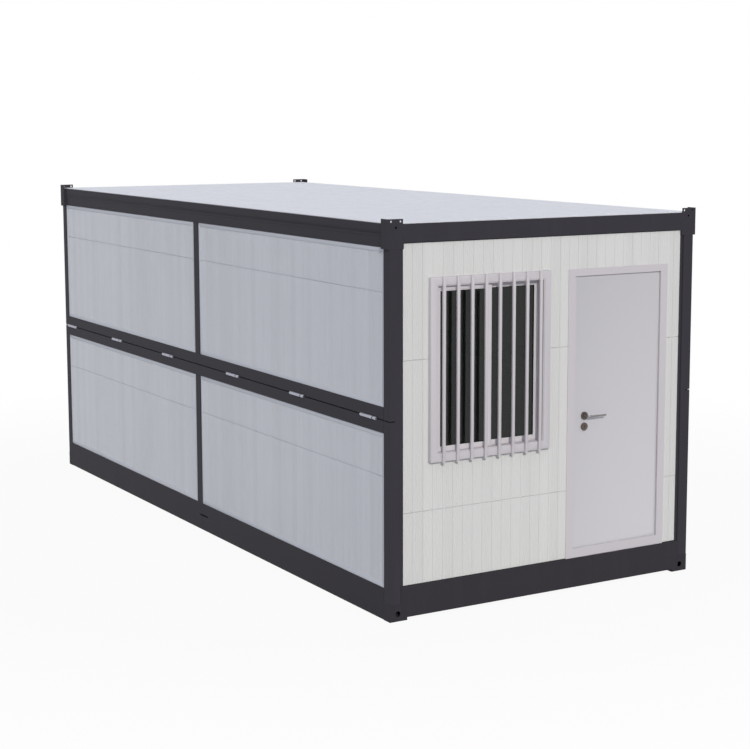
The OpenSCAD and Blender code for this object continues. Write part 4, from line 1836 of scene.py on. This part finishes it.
@dataclass
class Studio:
    """Pale floor, soft light and the camera."""

    horizon: Colour = (0.29, 0.31, 0.37)
    zenith: Colour = (0.66, 0.70, 0.79)
    floor: float = 0.52
    floor_r: float = 60.0
    floor_drop: float = 0.0005
    fade: tuple[float, float] = (3.5, 7.0)
    near_white: float = 0.93
    sun_colour: Colour = (1.0, 0.97, 0.91)
    sun_strength: float = 1.85
    sun_angle: float = 3.0
    sun_turn: tuple[float, float] = (65.0, -21.0)
    camera_spot: Point = (-6.631, -11.928, 3.254)
    heading: float = 31.40
    tilt: float = -7.61
    lens: float = 81.36
    sensor: float = 36.0
    sight: float = 200.0
    shift: tuple[float, float] = (-0.04, -0.05)

    def build(self) -> None:
        """Sets up the floor, the world, the lamp and the camera."""
        self._floor()
        self._world()
        self._sun()
        self._camera()
        bpy.context.scene.view_settings.view_transform = "Standard"

    @staticmethod
    def _looked_at(sheet: NodeSheet) -> bpy.types.Node:
        """Tells what the camera, a gloss or a glass sees from what only lights the cabin.

        Args:
            sheet: The material's or the world's nodes.

        Returns:
            A node whose Value is 1 for what is seen, and 0 for the rest.
        """
        rays = sheet.add("LightPath")
        direct = sheet.add("Math", operation="MAXIMUM")
        sheet.wire(rays, "Is Camera Ray", direct, 0)
        sheet.wire(rays, "Is Glossy Ray", direct, 1)
        seen = sheet.add("Math", operation="MAXIMUM")
        sheet.wire(direct, "Value", seen, 0)
        sheet.wire(rays, "Is Transmission Ray", seen, 1)
        return seen

    def _floor(self) -> None:
        """Lays a wide white floor that keeps the cabin's soft shadow and fades into the white round it."""
        select_only()
        bpy.ops.mesh.primitive_circle_add(
            vertices=96, radius=self.floor_r, fill_type="NGON", location=(0, 0, -self.floor_drop)
        )
        floor = settle(bpy.context.active_object, "studio_floor")
        material = bpy.data.materials.new("studio_floor_white")
        material.use_nodes = True
        sheet = NodeSheet(material.node_tree)
        grey = (self.floor, self.floor, self.floor)
        matt = sheet.add("BsdfPrincipled", {"Base Color": shade(grey, 1.0), "Roughness": 0.95})
        matt.inputs["Specular IOR Level"].default_value = 0.0
        glow = sheet.add("Emission", {"Color": (1, 1, 1, 1), "Strength": 1.0})
        place_at = sheet.add("TexCoord")
        reach = sheet.add("VectorMath", operation="LENGTH")
        sheet.wire(place_at, "Object", reach, 0)
        far = sheet.ramp(reach, "Value", *self.fade)
        share = sheet.add("MapRange", {"To Min": self.near_white, "To Max": 1.0}, clamp=True)
        sheet.wire(far, "Result", share, "Value")
        white = sheet.add("Math", operation="MULTIPLY")
        sheet.wire(self._looked_at(sheet), "Value", white, 0)
        sheet.wire(share, "Result", white, 1)
        mix = sheet.add("MixShader")
        sheet.wire(white, "Value", mix, "Fac")
        sheet.wire(matt, "BSDF", mix, 1)
        sheet.wire(glow, "Emission", mix, 2)
        sheet.wire(mix, "Shader", sheet.add("OutputMaterial"), "Surface")
        floor.data.materials.append(material)

    def _world(self) -> None:
        """Makes a pale sky, brighter overhead, for light, and plain white for what sees it directly."""
        world = bpy.data.worlds.new("studio_sky")
        world.use_nodes = True
        sheet = NodeSheet(world.node_tree)
        aim = sheet.add("TexCoord")
        rise = sheet.add("SeparateXYZ")
        sheet.wire(aim, "Generated", rise, 0)
        height = sheet.ramp(rise, "Z", low=0.0, high=1.0)
        sky = Finish.blend(sheet, height, "Result", shade(self.horizon, 1.0), shade(self.zenith, 1.0))
        light = sheet.add("Background", {"Strength": 1.0})
        sheet.wire(sky, 2, light, "Color")
        white = sheet.add("Background", {"Color": (1, 1, 1, 1), "Strength": 1.0})
        mix = sheet.add("MixShader")
        sheet.wire(self._looked_at(sheet), "Value", mix, "Fac")
        sheet.wire(light, "Background", mix, 1)
        sheet.wire(white, "Background", mix, 2)
        sheet.wire(mix, "Shader", sheet.add("OutputWorld"), "Surface")
        bpy.context.scene.world = world

    def _sun(self) -> None:
        """Hangs one soft lamp, in front and a little to the left."""
        lamp = bpy.data.lights.new("soft_sun", "SUN")
        lamp.energy = self.sun_strength
        lamp.angle = math.radians(self.sun_angle)
        lamp.color = self.sun_colour
        sun = bpy.data.objects.new("soft_sun", lamp)
        bpy.context.scene.collection.objects.link(sun)
        sun.rotation_euler = (math.radians(self.sun_turn[0]), 0.0, math.radians(self.sun_turn[1]))

    def _camera(self) -> None:
        """Sets the main view: the window end and the left side, from above eye height."""
        lens = bpy.data.cameras.new("main_view")
        lens.lens = self.lens
        lens.sensor_width = self.sensor
        lens.shift_x, lens.shift_y = self.shift
        lens.clip_end = self.sight
        camera = bpy.data.objects.new("main_view", lens)
        bpy.context.scene.collection.objects.link(camera)
        camera.location = self.camera_spot
        camera.rotation_euler = (math.radians(90 + self.tilt), 0.0, math.radians(-self.heading))
        bpy.context.scene.camera = camera


def main() -> None:
    """Builds the cabin's sub-assemblies in order, then the studio."""
    logging.basicConfig(level=logging.INFO, format="%(message)s")
    log.info("steel frame")
    SteelFrame().dress()
    log.info("roof, ceiling and floor")
    RoomLining().dress()
    log.info("side panels")
    SidePanels().build()
    log.info("end walls")
    EndWalls().build()
    log.info("fold hinges")
    FoldHinges().build()
    log.info("window")
    WindowUnit().build()
    log.info("door")
    DoorUnit().build()
    log.info("studio")
    Studio().build()


if __name__ == "__main__":
    main()
